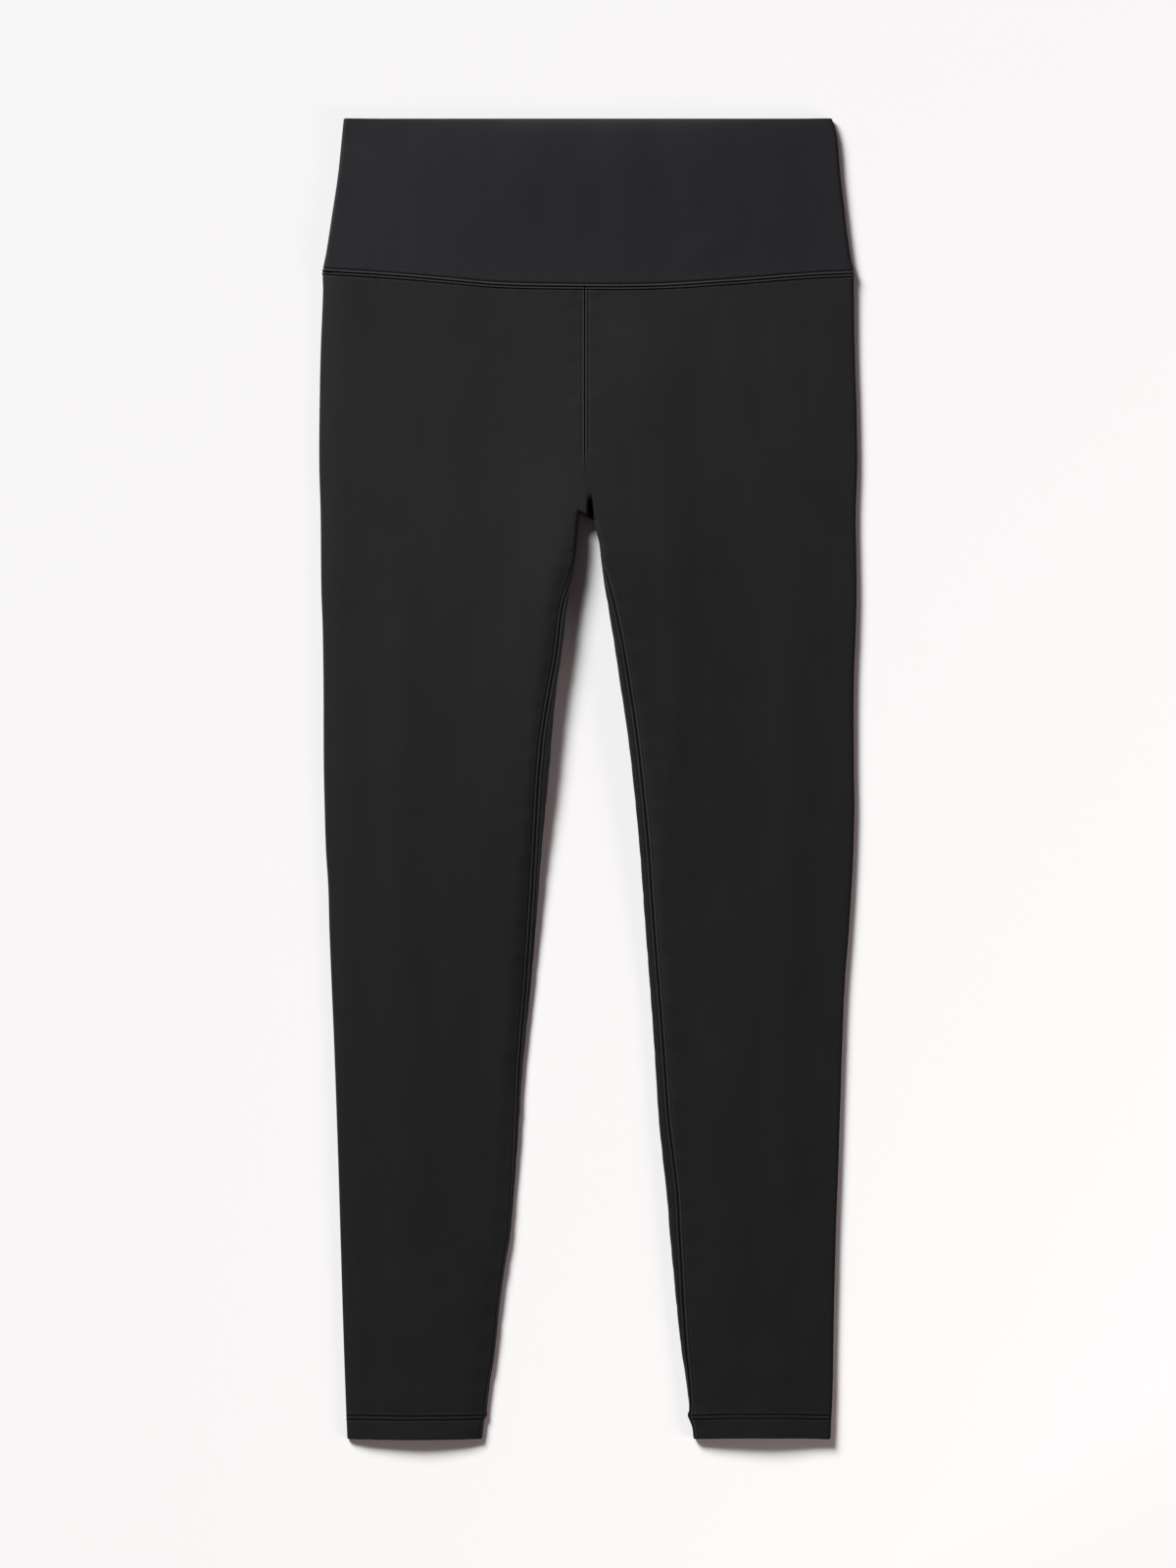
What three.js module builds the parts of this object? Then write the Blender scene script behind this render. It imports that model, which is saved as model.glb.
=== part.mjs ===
// High-waisted full-length leggings, laid out flat on their back with the front up.
// Millimetres, +Z up, +Y towards the waist, origin on the surface under the middle of the garment.
// "left" and "right" are the wearer's: the left leg lies on the +X side.
// "down" is the distance below the waistband's top edge, and "out" the distance from X = 0
// towards the leg's own side.

import * as THREE from "three";

// Driving dimensions
const LENGTH = 911.6;
const KNIT = 1.2;
const BAND_WALL = 2.2;
const HEM_WALL = 2.0;
const HEM_DEPTH = 17.6;
const HEM_STEP = 1.4;
const SEAM_GAP = 0.3;
const RIDGE = 0.35;
const RIDGE_HALF = 2.0;
const RIDGE_FOOT = 3.2;
const WAIST_RIDGE_HALF = 2.7;
const WAIST_RIDGE_FOOT = 4.2;
const EDGE_ROUND = 0.5;
const TOP_DIP = 0.9;
const BACK_RISE = 2.5;
const BACK_SEAM_SIDE = 106.8;
const HIP_HALF = 184;
const SEAM_FADE = 70;

// Centre seams and gusset
const CENTRE_FRONT = -3.0;
const CENTRE_BACK = -2.0;
const GUSSET_FRONT_TIP = 243;
const GUSSET_BACK_TIP = 215;
const GUSSET_FRONT_BLUNT = 4;
const GUSSET_BACK_BLUNT = 8;
const STITCH_FADE = 6;
const CROTCH = { left: { down: 278.1, out: 3.0 }, right: { down: 272.7, out: 7.1 } };

// The outer fold of each side, from the waist to the hem
const OUTER_EDGE = [
  { down: 0, right: 169.6, left: 167.4 },
  { down: 12, right: 170.8, left: 170.7 },
  { down: 40, right: 173.7, left: 173.3 },
  { down: 67, right: 177.7, left: 176.4 },
  { down: 94, right: 181.8, left: 179.9 },
  { down: 106, right: 184.1, left: 182.4 },
  { down: 120, right: 183.5, left: 182.5 },
  { down: 160, right: 184.1, left: 183.1 },
  { down: 200, right: 185.2, left: 184.3 },
  { down: 240, right: 185.4, left: 184.8 },
  { down: 272, right: 184.8, left: 183.8 },
  { down: 325, right: 184.5, left: 184.4 },
  { down: 350, right: 183.3, left: 183.9 },
  { down: 390, right: 183.1, left: 182.5 },
  { down: 445, right: 183.1, left: 182.5 },
  { down: 475, right: 182.8, left: 182.9 },
  { down: 505, right: 182.0, left: 182.2 },
  { down: 530, right: 180.4, left: 181.0 },
  { down: 560, right: 179.6, left: 179.1 },
  { down: 600, right: 178.0, left: 176.1 },
  { down: 640, right: 176.3, left: 174.5 },
  { down: 720, right: 173.5, left: 171.9 },
  { down: 770, right: 172.0, left: 170.1 },
  { down: 830, right: 170.2, left: 168.7 },
  { down: 880, right: 168.5, left: 167.8 },
  { down: 911.6, right: 167.2, left: 166.3 },
];

// The inner fold of each leg, from the crotch to the hem
const INNER_EDGE = [
  { down: 272.7, right: 7.1, left: 2.0 },
  { down: 278.1, right: 7.5, left: 3.0 },
  { down: 284, right: 8.0, left: 4.5 },
  { down: 297, right: 9.1, left: 7.1 },
  { down: 310, right: 10.8, left: 8.5 },
  { down: 324, right: 13.3, left: 10.5 },
  { down: 338, right: 15.4, left: 12.9 },
  { down: 365, right: 18.5, left: 17.3 },
  { down: 392, right: 22.4, left: 21.3 },
  { down: 419, right: 25.3, left: 25.4 },
  { down: 446, right: 27.4, left: 28.8 },
  { down: 500, right: 32.5, left: 34.2 },
  { down: 554, right: 36.6, left: 38.2 },
  { down: 608, right: 41.3, left: 42.3 },
  { down: 636, right: 44.3, left: 44.3 },
  { down: 663, right: 46.7, left: 46.0 },
  { down: 690, right: 48.4, left: 47.7 },
  { down: 717, right: 50.4, left: 50.4 },
  { down: 744, right: 52.5, left: 53.4 },
  { down: 771, right: 54.8, left: 55.5 },
  { down: 798, right: 59.2, left: 58.1 },
  { down: 825, right: 62.6, left: 60.6 },
  { down: 852, right: 65.3, left: 63.6 },
  { down: 879, right: 69.2, left: 66.9 },
  { down: 896, right: 70.8, left: 68.0 },
  { down: 904, right: 72.8, left: 70.0 },
  { down: 911.6, right: 73.8, left: 71.8 },
];

// The inseam's distance from the middle of the inner fold: above 0 on the front,
// below 0 on the underside
const INSEAM = [
  { down: 272.7, right: 0.0, left: 0.0 },
  { down: 278.1, right: -3.0, left: 0.0 },
  { down: 284, right: -5.0, left: -3.0 },
  { down: 291, right: -4.8, left: -4.8 },
  { down: 300, right: -2.4, left: -2.6 },
  { down: 310, right: 0.2, left: 2.6 },
  { down: 322, right: 2.0, left: 5.2 },
  { down: 338, right: 4.7, left: 6.8 },
  { down: 380, right: 5.0, left: 8.2 },
  { down: 440, right: 8.0, left: 8.0 },
  { down: 509, right: 6.0, left: 7.9 },
  { down: 570, right: 5.0, left: 7.6 },
  { down: 625, right: 3.9, left: 7.8 },
  { down: 681, right: 2.6, left: 8.2 },
  { down: 740, right: 1.0, left: 9.0 },
  { down: 820, right: 0.5, left: 6.2 },
  { down: 890, right: 0.5, left: 2.7 },
  { down: 911.6, right: 0.5, left: 2.2 },
];

// Height of the laid garment at its centre or inner fold and at its outer fold, how far it rises
// between them, and how far its centre or inner fold is lifted off the surface
const HEIGHT = [
  { down: 0, inner: 5.2, outer: 5.0, crown: 0.5, lift: 0 },
  { down: 106, inner: 5.1, outer: 4.8, crown: 0.6, lift: 0 },
  { down: 150, inner: 5.1, outer: 4.4, crown: 0.6, lift: 0.6 },
  { down: 215, inner: 5.3, outer: 4.3, crown: 0.6, lift: 2.8 },
  { down: 250, inner: 5.6, outer: 4.3, crown: 0.6, lift: 4.4 },
  { down: 280, inner: 6.0, outer: 4.3, crown: 0.6, lift: 6.0 },
  { down: 310, inner: 6.1, outer: 4.3, crown: 0.5, lift: 6.6 },
  { down: 360, inner: 5.8, outer: 4.3, crown: 0.6, lift: 6.1 },
  { down: 450, inner: 5.2, outer: 4.2, crown: 0.8, lift: 4.7 },
  { down: 540, inner: 4.8, outer: 4.2, crown: 0.9, lift: 2.5 },
  { down: 620, inner: 4.6, outer: 4.2, crown: 0.9, lift: 1.4 },
  { down: 800, inner: 4.5, outer: 4.2, crown: 0.9, lift: 0.9 },
  { down: 893, inner: 4.6, outer: 4.5, crown: 1.1, lift: 0.3 },
  { down: 911.6, inner: 4.6, outer: 4.5, crown: 1.4, lift: 0.2 },
];
const LIFT_REACH = { left: 100, right: 68 };

// The seam under the waistband, as it lies across the front
const WAIST_SEAM = [
  { across: -184, down: 106.0 },
  { across: -135, down: 109.0 },
  { across: -66, down: 115.5 },
  { across: -31, down: 116.5 },
  { across: 41, down: 116.7 },
  { across: 96, down: 113.5 },
  { across: 151, down: 109.1 },
  { across: 183, down: 107.5 },
];

// Rows across a leg and columns round it
const LEG_ROWS_ABOVE = [130, 160, 195, 228, 244, 258];
const CROTCH_TURNS = [0, 30, 60, 90];
const LEG_ROWS_BELOW = [
  283, 289, 296, 304, 313, 322, 334, 350, 372, 400, 435, 475, 515, 555, 600, 640, 680, 720,
  760, 795, 825, 852, 875,
];
const START_STEPS = [0, RIDGE_HALF, RIDGE_FOOT, 6, 9];
const END_STEPS = [0, RIDGE_HALF, RIDGE_FOOT, 5, 7, 9, 11, 13, 15];
const FRONT_COLUMNS = 9;
const BACK_COLUMNS = 7;
const FOLD_TURNS = [0, 30, 60, 90, 120, 150, 180];
const BAND_FRONT_COLUMNS = 14;
const BAND_BACK_COLUMNS = 8;
const BAND_SHARES = [0.12, 0.32, 0.55, 0.78, 0.92];
const GUSSET_ACROSS = 4;
const GUSSET_SHARES = [0, 0.3, 0.65, 1];

const LEGS = {
  left: { name: "leg_left", key: "left", side: 1 },
  right: { name: "leg_right", key: "right", side: -1 },
};
const CHARCOAL = 0x28282a;
const degrees = THREE.MathUtils.degToRad;
const clamp = THREE.MathUtils.clamp;
const mix = THREE.MathUtils.lerp;

// Smooth value of one column of a table at a place along its key column
function read(table, column, place, key = "down") {
  const last = table.length - 1;
  let i = 0;
  while (i < last - 1 && table[i + 1][key] < place) i += 1;
  const slope = (k) => {
    const before = table[Math.max(k - 1, 0)];
    const after = table[Math.min(k + 1, last)];
    return (after[column] - before[column]) / (after[key] - before[key]);
  };
  const [a, b] = [table[i], table[i + 1]];
  const span = b[key] - a[key];
  const t = clamp((place - a[key]) / span, 0, 1);
  const rise = b[column] - a[column];
  const start = slope(i) * span;
  const end = slope(i + 1) * span;
  return a[column] + t * (start + t * (3 * rise - 2 * start - end + t * (start + end - 2 * rise)));
}

// How far down the waist seam lies at a place across the garment, on the front or the underside
function waistSeam(x, onFront) {
  if (onFront) return read(WAIST_SEAM, "down", x, "across");
  const share = Math.min(Math.abs(x) / HIP_HALF, 1);
  return BACK_SEAM_SIDE - BACK_RISE * (1 - share * share);
}

// Height of the front over the table, from the centre or inner fold (0) to the outer fold (1)
function topHeight(inner, outer, crown, share) {
  return mix(inner, outer, share) + crown * Math.sin(Math.PI * share) ** 2;
}

// Lengths of the stretches that make up the section of a flattened tube
function runsOf(section) {
  const innerRadius = section.innerHeight / 2;
  const outerRadius = section.outerHeight / 2;
  const quarter = (Math.PI / 2) * innerRadius;
  const width = section.outer - outerRadius - section.inner - innerRadius;
  const fold = Math.PI * outerRadius;
  return { innerRadius, outerRadius, quarter, width, fold, loop: 2 * quarter + 2 * width + fold };
}

// Point and outward normal of a flattened tube at a run along its section, from the middle
// of the inner fold over the front
function flatPoint(section, run) {
  const { innerRadius, outerRadius, quarter, width, fold, loop } = runsOf(section);
  const innerCentre = section.inner + innerRadius;
  const outerCentre = section.outer - outerRadius;
  let s = ((run % loop) + loop) % loop;
  if (s < quarter) {
    const a = s / innerRadius;
    const [c, d] = [Math.cos(a), Math.sin(a)];
    return { out: innerCentre - innerRadius * c, z: innerRadius * (1 + d), normalOut: -c, normalZ: d };
  }
  s -= quarter;
  if (s < width) {
    const share = s / width;
    const z = topHeight(section.innerHeight, section.outerHeight, section.crown, share);
    const rise = section.outerHeight - section.innerHeight;
    const slope = (rise + section.crown * Math.PI * Math.sin(2 * Math.PI * share)) / width;
    const size = Math.hypot(slope, 1);
    return { out: innerCentre + s, z, normalOut: -slope / size, normalZ: 1 / size };
  }
  s -= width;
  if (s < fold) {
    const a = s / outerRadius;
    const [c, d] = [Math.cos(a), Math.sin(a)];
    return { out: outerCentre + outerRadius * d, z: outerRadius * (1 + c), normalOut: d, normalZ: c };
  }
  s -= fold;
  if (s < width) return { out: outerCentre - s, z: 0, normalOut: 0, normalZ: -1 };
  const a = (s - width) / innerRadius;
  const [c, d] = [Math.cos(a), Math.sin(a)];
  return { out: innerCentre - innerRadius * d, z: innerRadius * (1 - c), normalOut: -d, normalZ: -c };
}

// The same point with the inner fold lifted off the surface, fading out across the leg
function sectionPoint(section, run) {
  const point = flatPoint(section, run);
  const share = 1 - clamp((point.out - section.liftFrom) / section.liftReach, 0, 1);
  return { ...point, z: point.z + section.lift * share * share * (3 - 2 * share) };
}

// Closed wall between an outer and an inner grid of points, open or joined round
// from its last column to its first
function wallGeometry(outerGrid, innerGrid, joined, mirrored) {
  const rows = outerGrid.length;
  const columns = outerGrid[0].length;
  const positions = [...outerGrid.flat(), ...innerGrid.flat()].flatMap((p) => [p.x, p.y, p.z]);
  const outerAt = (r, c) => r * columns + (c % columns);
  const innerAt = (r, c) => rows * columns + outerAt(r, c);
  const index = [];
  const quad = (a, b, c, d) => (mirrored ? index.push(a, c, b, a, d, c) : index.push(a, b, c, a, c, d));
  const spans = joined ? columns : columns - 1;
  for (let r = 0; r < rows - 1; r += 1) {
    for (let c = 0; c < spans; c += 1) {
      quad(outerAt(r, c), outerAt(r + 1, c), outerAt(r + 1, c + 1), outerAt(r, c + 1));
      quad(innerAt(r, c), innerAt(r, c + 1), innerAt(r + 1, c + 1), innerAt(r + 1, c));
    }
    if (!joined) {
      quad(outerAt(r, 0), innerAt(r, 0), innerAt(r + 1, 0), outerAt(r + 1, 0));
      quad(outerAt(r, spans), outerAt(r + 1, spans), innerAt(r + 1, spans), innerAt(r, spans));
    }
  }
  for (let c = 0; c < spans; c += 1) {
    quad(outerAt(0, c), outerAt(0, c + 1), innerAt(0, c + 1), innerAt(0, c));
    quad(outerAt(rows - 1, c), innerAt(rows - 1, c), innerAt(rows - 1, c + 1), outerAt(rows - 1, c + 1));
  }
  const geometry = new THREE.BufferGeometry();
  geometry.setAttribute("position", new THREE.Float32BufferAttribute(positions, 3));
  geometry.setIndex(index);
  geometry.computeVertexNormals();
  return geometry;
}

// A named piece of the dark knit
function clothMesh(name, geometry) {
  const material = new THREE.MeshStandardMaterial({ color: CHARCOAL, roughness: 0.85, metalness: 0 });
  const mesh = new THREE.Mesh(geometry, material);
  mesh.name = name;
  return mesh;
}

// A point of the wall moved along its normal, placed on its own side of the garment
function placed(point, offset, down, side) {
  const out = point.out + offset * point.normalOut;
  const z = point.z + offset * point.normalZ;
  return new THREE.Vector3(side * out, LENGTH / 2 - down, z);
}

// Edge of a leg panel beside the centre seam and the gusset, on the front or the underside
function centreEdge(leg, down, tip, centre) {
  const corner = CROTCH[leg.key];
  const seam = leg.side * centre + SEAM_GAP / 2;
  const cornerOut = corner.out + SEAM_GAP / 2;
  return mix(seam, cornerOut, clamp((down - tip) / (corner.down - tip), 0, 1));
}

// Section of a leg at a distance down, with the runs at which its panel starts and ends
function legSection(leg, down) {
  const corner = CROTCH[leg.key];
  const innerHeight = read(HEIGHT, "inner", down);
  const section = {
    inner: read(INNER_EDGE, leg.key, down),
    outer: read(OUTER_EDGE, leg.key, down),
    innerHeight,
    outerHeight: read(HEIGHT, "outer", down),
    crown: read(HEIGHT, "crown", down),
    lift: read(HEIGHT, "lift", down),
    liftReach: LIFT_REACH[leg.key],
  };
  section.liftFrom = section.inner + SEAM_GAP / 2;
  if (down >= corner.down) {
    const seam = read(INSEAM, leg.key, down);
    section.start = seam + SEAM_GAP / 2;
    section.end = runsOf(section).loop + seam - SEAM_GAP / 2;
    return section;
  }
  const radius = innerHeight / 2;
  const turn = Math.asin(clamp((down - corner.down + radius) / radius, 0, 1));
  const front = centreEdge(leg, down, GUSSET_FRONT_TIP, CENTRE_FRONT);
  const back = centreEdge(leg, down, GUSSET_BACK_TIP, CENTRE_BACK);
  section.liftFrom = front;
  section.inner = front - radius + radius * Math.sin(turn);
  const half = radius * (Math.PI / 2 - turn) + (SEAM_GAP / 2) * Math.sin(turn);
  section.start = half;
  section.end = runsOf(section).loop - half - (back - front);
  return section;
}

// Runs of the columns round a leg: seam edge, front, outer fold, underside, inner fold, seam edge
function legRuns(section) {
  const { quarter, width, outerRadius, fold } = runsOf(section);
  const start = START_STEPS.map((step) => section.start + step);
  const end = END_STEPS.map((step) => section.end - step).reverse();
  const foldStart = quarter + width;
  const foldRuns = FOLD_TURNS.map((turn) => foldStart + outerRadius * degrees(turn));
  const between = (from, to, count) => {
    const steps = Array.from({ length: count }, (_, i) => (i + 1) / (count + 1));
    return steps.map((share) => mix(from, to, share));
  };
  const front = between(start.at(-1), foldStart, FRONT_COLUMNS);
  const back = between(foldStart + fold, end[0], BACK_COLUMNS);
  return [...start, ...front, ...foldRuns, ...back, ...end];
}

// How far a stitched seam stands up beside a panel's edge, at a distance from that edge
function ridgeAt(distance, half, foot) {
  return RIDGE * clamp((foot - distance) / (foot - half), 0, 1);
}

// 1 where a panel's edge is stitched on the front: above the gusset's front tip and below the crotch
function stitched(leg, down) {
  return clamp(Math.max(GUSSET_FRONT_TIP - down, down - CROTCH[leg.key].down) / STITCH_FADE, 0, 1);
}

// Wall of a leg, thicker where the hem is turned up
function legWall(down) {
  const share = clamp((down - (LENGTH - HEM_DEPTH - HEM_STEP)) / HEM_STEP, 0, 1);
  return mix(KNIT, HEM_WALL, share);
}

// Distances down of the rows of points across a leg
function legRows(leg) {
  const corner = CROTCH[leg.key];
  const radius = read(HEIGHT, "inner", corner.down) / 2;
  const turns = CROTCH_TURNS.map((turn) => corner.down - radius * (1 - Math.sin(degrees(turn))));
  const top = BACK_SEAM_SIDE + SEAM_GAP / 2;
  const waist = [top, top + WAIST_RIDGE_HALF, top + WAIST_RIDGE_FOOT];
  const hemTop = LENGTH - HEM_DEPTH;
  const hem = [hemTop - HEM_STEP, hemTop, LENGTH - EDGE_ROUND, LENGTH];
  return [...waist, ...LEG_ROWS_ABOVE, ...turns, ...LEG_ROWS_BELOW, ...hem];
}

// One leg panel: from the centre front round the outer fold to the centre back,
// and below the crotch on round the inner fold to the inseam
function legPanel(leg) {
  const outerGrid = [];
  const innerGrid = [];
  for (const down of legRows(leg)) {
    const section = legSection(leg, down);
    const wall = legWall(down);
    const fade = clamp(1 - (down - BACK_SEAM_SIDE) / SEAM_FADE, 0, 1);
    const sewn = stitched(leg, down);
    const round = down === LENGTH ? EDGE_ROUND : 0;
    const fromWaist = down - BACK_SEAM_SIDE;
    const points = legRuns(section).map((run) => {
      const point = sectionPoint(section, run);
      const seamShift = waistSeam(leg.side * point.out, point.normalZ > 0) - BACK_SEAM_SIDE;
      const fromSeam = Math.min(run - section.start, section.end - run);
      const seamRidge = sewn * ridgeAt(fromSeam, RIDGE_HALF, RIDGE_FOOT);
      const waistRidge = ridgeAt(fromWaist, WAIST_RIDGE_HALF + SEAM_GAP, WAIST_RIDGE_FOOT);
      const ridge = Math.max(seamRidge, waistRidge) * clamp(point.normalZ, 0, 1);
      return { point, ridge, down: down + seamShift * fade };
    });
    outerGrid.push(points.map((p) => placed(p.point, p.ridge - round, p.down, leg.side)));
    innerGrid.push(points.map((p) => placed(p.point, round - wall, p.down, leg.side)));
  }
  return clothMesh(leg.name, wallGeometry(outerGrid, innerGrid, false, leg.side < 0));
}

// Section of the waistband, which runs from the right outer fold to the left one
function bandSection(down) {
  return {
    inner: -read(OUTER_EDGE, "right", down),
    outer: read(OUTER_EDGE, "left", down),
    height: read(HEIGHT, "outer", down),
    rise: read(HEIGHT, "inner", down) - read(HEIGHT, "outer", down),
    crown: read(HEIGHT, "crown", down),
  };
}

// Point and outward normal of the waistband at a turn of a fold or a share of the front or underside
function bandPoint(section, column) {
  const radius = section.height / 2;
  const [low, high] = [section.inner + radius, section.outer - radius];
  if (column.turn !== undefined) {
    const a = degrees(column.turn);
    const centre = column.side > 0 ? high : low;
    const [c, d] = [Math.cos(a), Math.sin(a)];
    const out = column.side * d;
    return { out: centre + radius * out, z: radius * (1 + c), normalOut: out, normalZ: c };
  }
  const out = mix(low, high, column.share);
  if (column.under) return { out, z: 0, normalOut: 0, normalZ: -1 };
  const fromCentre = Math.abs(2 * column.share - 1);
  const z = topHeight(section.height + section.rise, section.height, section.crown, fromCentre);
  return { out, z, normalOut: 0, normalZ: 1 };
}

// Columns round the waistband: front, left fold, underside, right fold
function bandColumns() {
  const shares = (count) => Array.from({ length: count }, (_, i) => (i + 1) / (count + 1));
  const front = shares(BAND_FRONT_COLUMNS).map((share) => ({ share }));
  const leftFold = FOLD_TURNS.map((turn) => ({ turn, side: 1 }));
  const under = shares(BAND_BACK_COLUMNS).map((share) => ({ share: 1 - share, under: true }));
  const rightFold = FOLD_TURNS.map((turn) => ({ turn: 180 - turn, side: -1 }));
  return [...front, ...leftFold, ...under, ...rightFold];
}

// The waistband: a double layer folded at its top edge, as one flattened tube
function waistband() {
  const columns = bandColumns();
  const bottom = BACK_SEAM_SIDE - SEAM_GAP / 2;
  const lowRows = [bottom - WAIST_RIDGE_FOOT, bottom - WAIST_RIDGE_HALF, bottom];
  const rows = [0, EDGE_ROUND, ...BAND_SHARES.map((share) => share * bottom), ...lowRows];
  const outerGrid = [];
  const innerGrid = [];
  for (const down of rows) {
    const section = bandSection(down);
    const share = down / bottom;
    const round = down === 0 ? EDGE_ROUND : 0;
    const points = columns.map((column) => {
      const point = bandPoint(section, column);
      const onFront = point.normalZ > 0;
      const seamShift = (waistSeam(point.out, onFront) - BACK_SEAM_SIDE) * share;
      const fromCentre = Math.min(Math.abs(point.out) / HIP_HALF, 1);
      const dip = onFront ? TOP_DIP * Math.cos((Math.PI / 2) * fromCentre) : 0;
      const ridge = ridgeAt(bottom - down, WAIST_RIDGE_HALF, WAIST_RIDGE_FOOT) * clamp(point.normalZ, 0, 1);
      return { point, ridge, down: down + seamShift + dip * (1 - share) };
    });
    outerGrid.push(points.map((p) => placed(p.point, p.ridge - round, p.down, 1)));
    innerGrid.push(points.map((p) => placed(p.point, round - BAND_WALL, p.down, 1)));
  }
  return clothMesh("waistband", wallGeometry(outerGrid, innerGrid, true, false));
}

// A point on one side line of the gusset, a seam's gap inside the leg's edge
function gussetSide(leg, down, onFront) {
  const [tip, centre] = onFront ? [GUSSET_FRONT_TIP, CENTRE_FRONT] : [GUSSET_BACK_TIP, CENTRE_BACK];
  return { x: leg.side * (centreEdge(leg, down, tip, centre) - SEAM_GAP), down };
}

// The gusset: a small leaf folded under the crotch, its front tip in the centre-front seam
// and its longer back tip in the centre-back seam
function gusset() {
  const across = Array.from({ length: GUSSET_ACROSS + 1 }, (_, i) => i / GUSSET_ACROSS);
  const radius = read(HEIGHT, "inner", CROTCH.left.down) / 2;
  const row = (sides, height, normalDown, normalZ) => across.map((t) => {
    const down = mix(sides[0].down, sides[1].down, t);
    const z = height + read(HEIGHT, "lift", down);
    return { x: mix(sides[0].x, sides[1].x, t), down, z, normalDown, normalZ };
  });
  const flatRow = (share, onFront) => {
    const tip = onFront ? GUSSET_FRONT_TIP + GUSSET_FRONT_BLUNT : GUSSET_BACK_TIP + GUSSET_BACK_BLUNT;
    const ends = [LEGS.right, LEGS.left].map((leg) => CROTCH[leg.key].down - radius);
    const downs = ends.map((end) => mix(tip, end, share));
    const sides = [gussetSide(LEGS.right, downs[0], onFront), gussetSide(LEGS.left, downs[1], onFront)];
    const height = onFront ? read(HEIGHT, "inner", mix(downs[0], downs[1], 0.5)) : 0;
    return row(sides, height, 0, onFront ? 1 : -1);
  };
  const foldRow = (turn) => {
    const [c, d] = [Math.cos(degrees(turn)), Math.sin(degrees(turn))];
    const sides = [LEGS.right, LEGS.left].map((leg) =>
      gussetSide(leg, CROTCH[leg.key].down - radius * (1 - d), turn <= 90));
    return row(sides, radius * (1 + c), d, c);
  };
  const rows = [
    ...GUSSET_SHARES.map((share) => flatRow(share, true)),
    ...FOLD_TURNS.slice(1, -1).map(foldRow),
    ...[...GUSSET_SHARES].reverse().map((share) => flatRow(share, false)),
  ];
  const grid = (offset) => rows.map((points) => points.map((p) => {
    const y = LENGTH / 2 - p.down - offset * p.normalDown;
    return new THREE.Vector3(p.x, y, p.z + offset * p.normalZ);
  }));
  return clothMesh("gusset", wallGeometry(grid(0), grid(-KNIT), false, false));
}

const leggings = new THREE.Group();
leggings.add(waistband());
leggings.add(legPanel(LEGS.left));
leggings.add(legPanel(LEGS.right));
leggings.add(gusset());

export default leggings;
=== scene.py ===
"""High-waisted leggings laid out flat with the front up, dressed for rendering.

Every cloth piece is a thin shell of fine dark stretch knit on the form of its solid, with stitched
seams, turned hems and soft creases. Sizes are in millimetres in the tables and classes, and a mesh
is turned to metres when it is made. "left" and "right" are the wearer's: the left leg lies on the
+X side. "down" is the distance below the waistband's top edge, "out" the distance from X = 0
towards a leg's own side, and "run" the distance round a piece's section.
"""

from __future__ import annotations

import logging
import math
from dataclasses import dataclass, field
from enum import Enum

import bpy
import numpy as np
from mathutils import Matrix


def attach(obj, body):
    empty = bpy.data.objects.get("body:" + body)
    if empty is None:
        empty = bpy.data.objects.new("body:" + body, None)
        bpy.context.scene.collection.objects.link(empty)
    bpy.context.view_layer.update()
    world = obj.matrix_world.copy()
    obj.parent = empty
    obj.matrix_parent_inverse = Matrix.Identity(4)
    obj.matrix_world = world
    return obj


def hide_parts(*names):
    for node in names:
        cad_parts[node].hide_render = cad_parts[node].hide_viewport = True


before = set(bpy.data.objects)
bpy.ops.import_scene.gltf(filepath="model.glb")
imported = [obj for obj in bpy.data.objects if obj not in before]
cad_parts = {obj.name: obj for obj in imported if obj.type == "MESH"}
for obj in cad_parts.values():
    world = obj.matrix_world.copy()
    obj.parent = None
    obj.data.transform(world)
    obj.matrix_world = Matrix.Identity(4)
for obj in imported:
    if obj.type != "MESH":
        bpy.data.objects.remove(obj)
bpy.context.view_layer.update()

Array = np.ndarray
LOG = logging.getLogger("leggings")

MM = 0.001
LENGTH = 911.6
KNIT = 1.2
BAND_WALL = 2.2
HEM_WALL = 1.5
HEM_DEPTH = 17.6
HEM_STEP = 1.4
SEAM_GAP = 0.3
BACK_SEAM_SIDE = 106.8
BACK_RISE = 2.5
HIP_HALF = 184.0
SEAM_FADE = 70.0
SHOULDER_REACH = 17.0
LIFT_FAR = 150.0
CENTRE_FRONT = -3.0
CENTRE_BACK = -2.0
GUSSET_FRONT_TIP = 243.0
GUSSET_BACK_TIP = 215.0


@dataclass(frozen=True)
class SideFacts:
    """What sets one side of the wearer apart from the other.

    Attributes:
        key: Name of the side's columns in the tables.
        sign: The side's sign along X.
        crotch_down: How far down the crotch corner lies.
        crotch_out: How far out it lies.
        bow: How far the panel's edge beside the gusset curves, 0 for a straight one.
        lift_reach: How far out from the inner edge the cloth is lifted.
        lift_spread: Share of the lift that reaches nearly across the leg.
        droop: How far the front droops towards the inner fold.
        droop_reach: How far out from the inner edge it droops.
        droop_down: How far down the droop begins.
        shoulder: How far the front slopes down beside the outer fold.
        hem_rise: How much higher the hem stands than the other leg's.
        hem_bow: How far the hem's front bows up along the leg at its middle.
    """

    key: str
    sign: float
    crotch_down: float
    crotch_out: float
    bow: float
    lift_reach: float
    lift_spread: float
    droop: float
    droop_reach: float
    droop_down: float
    shoulder: float
    hem_rise: float
    hem_bow: float


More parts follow.
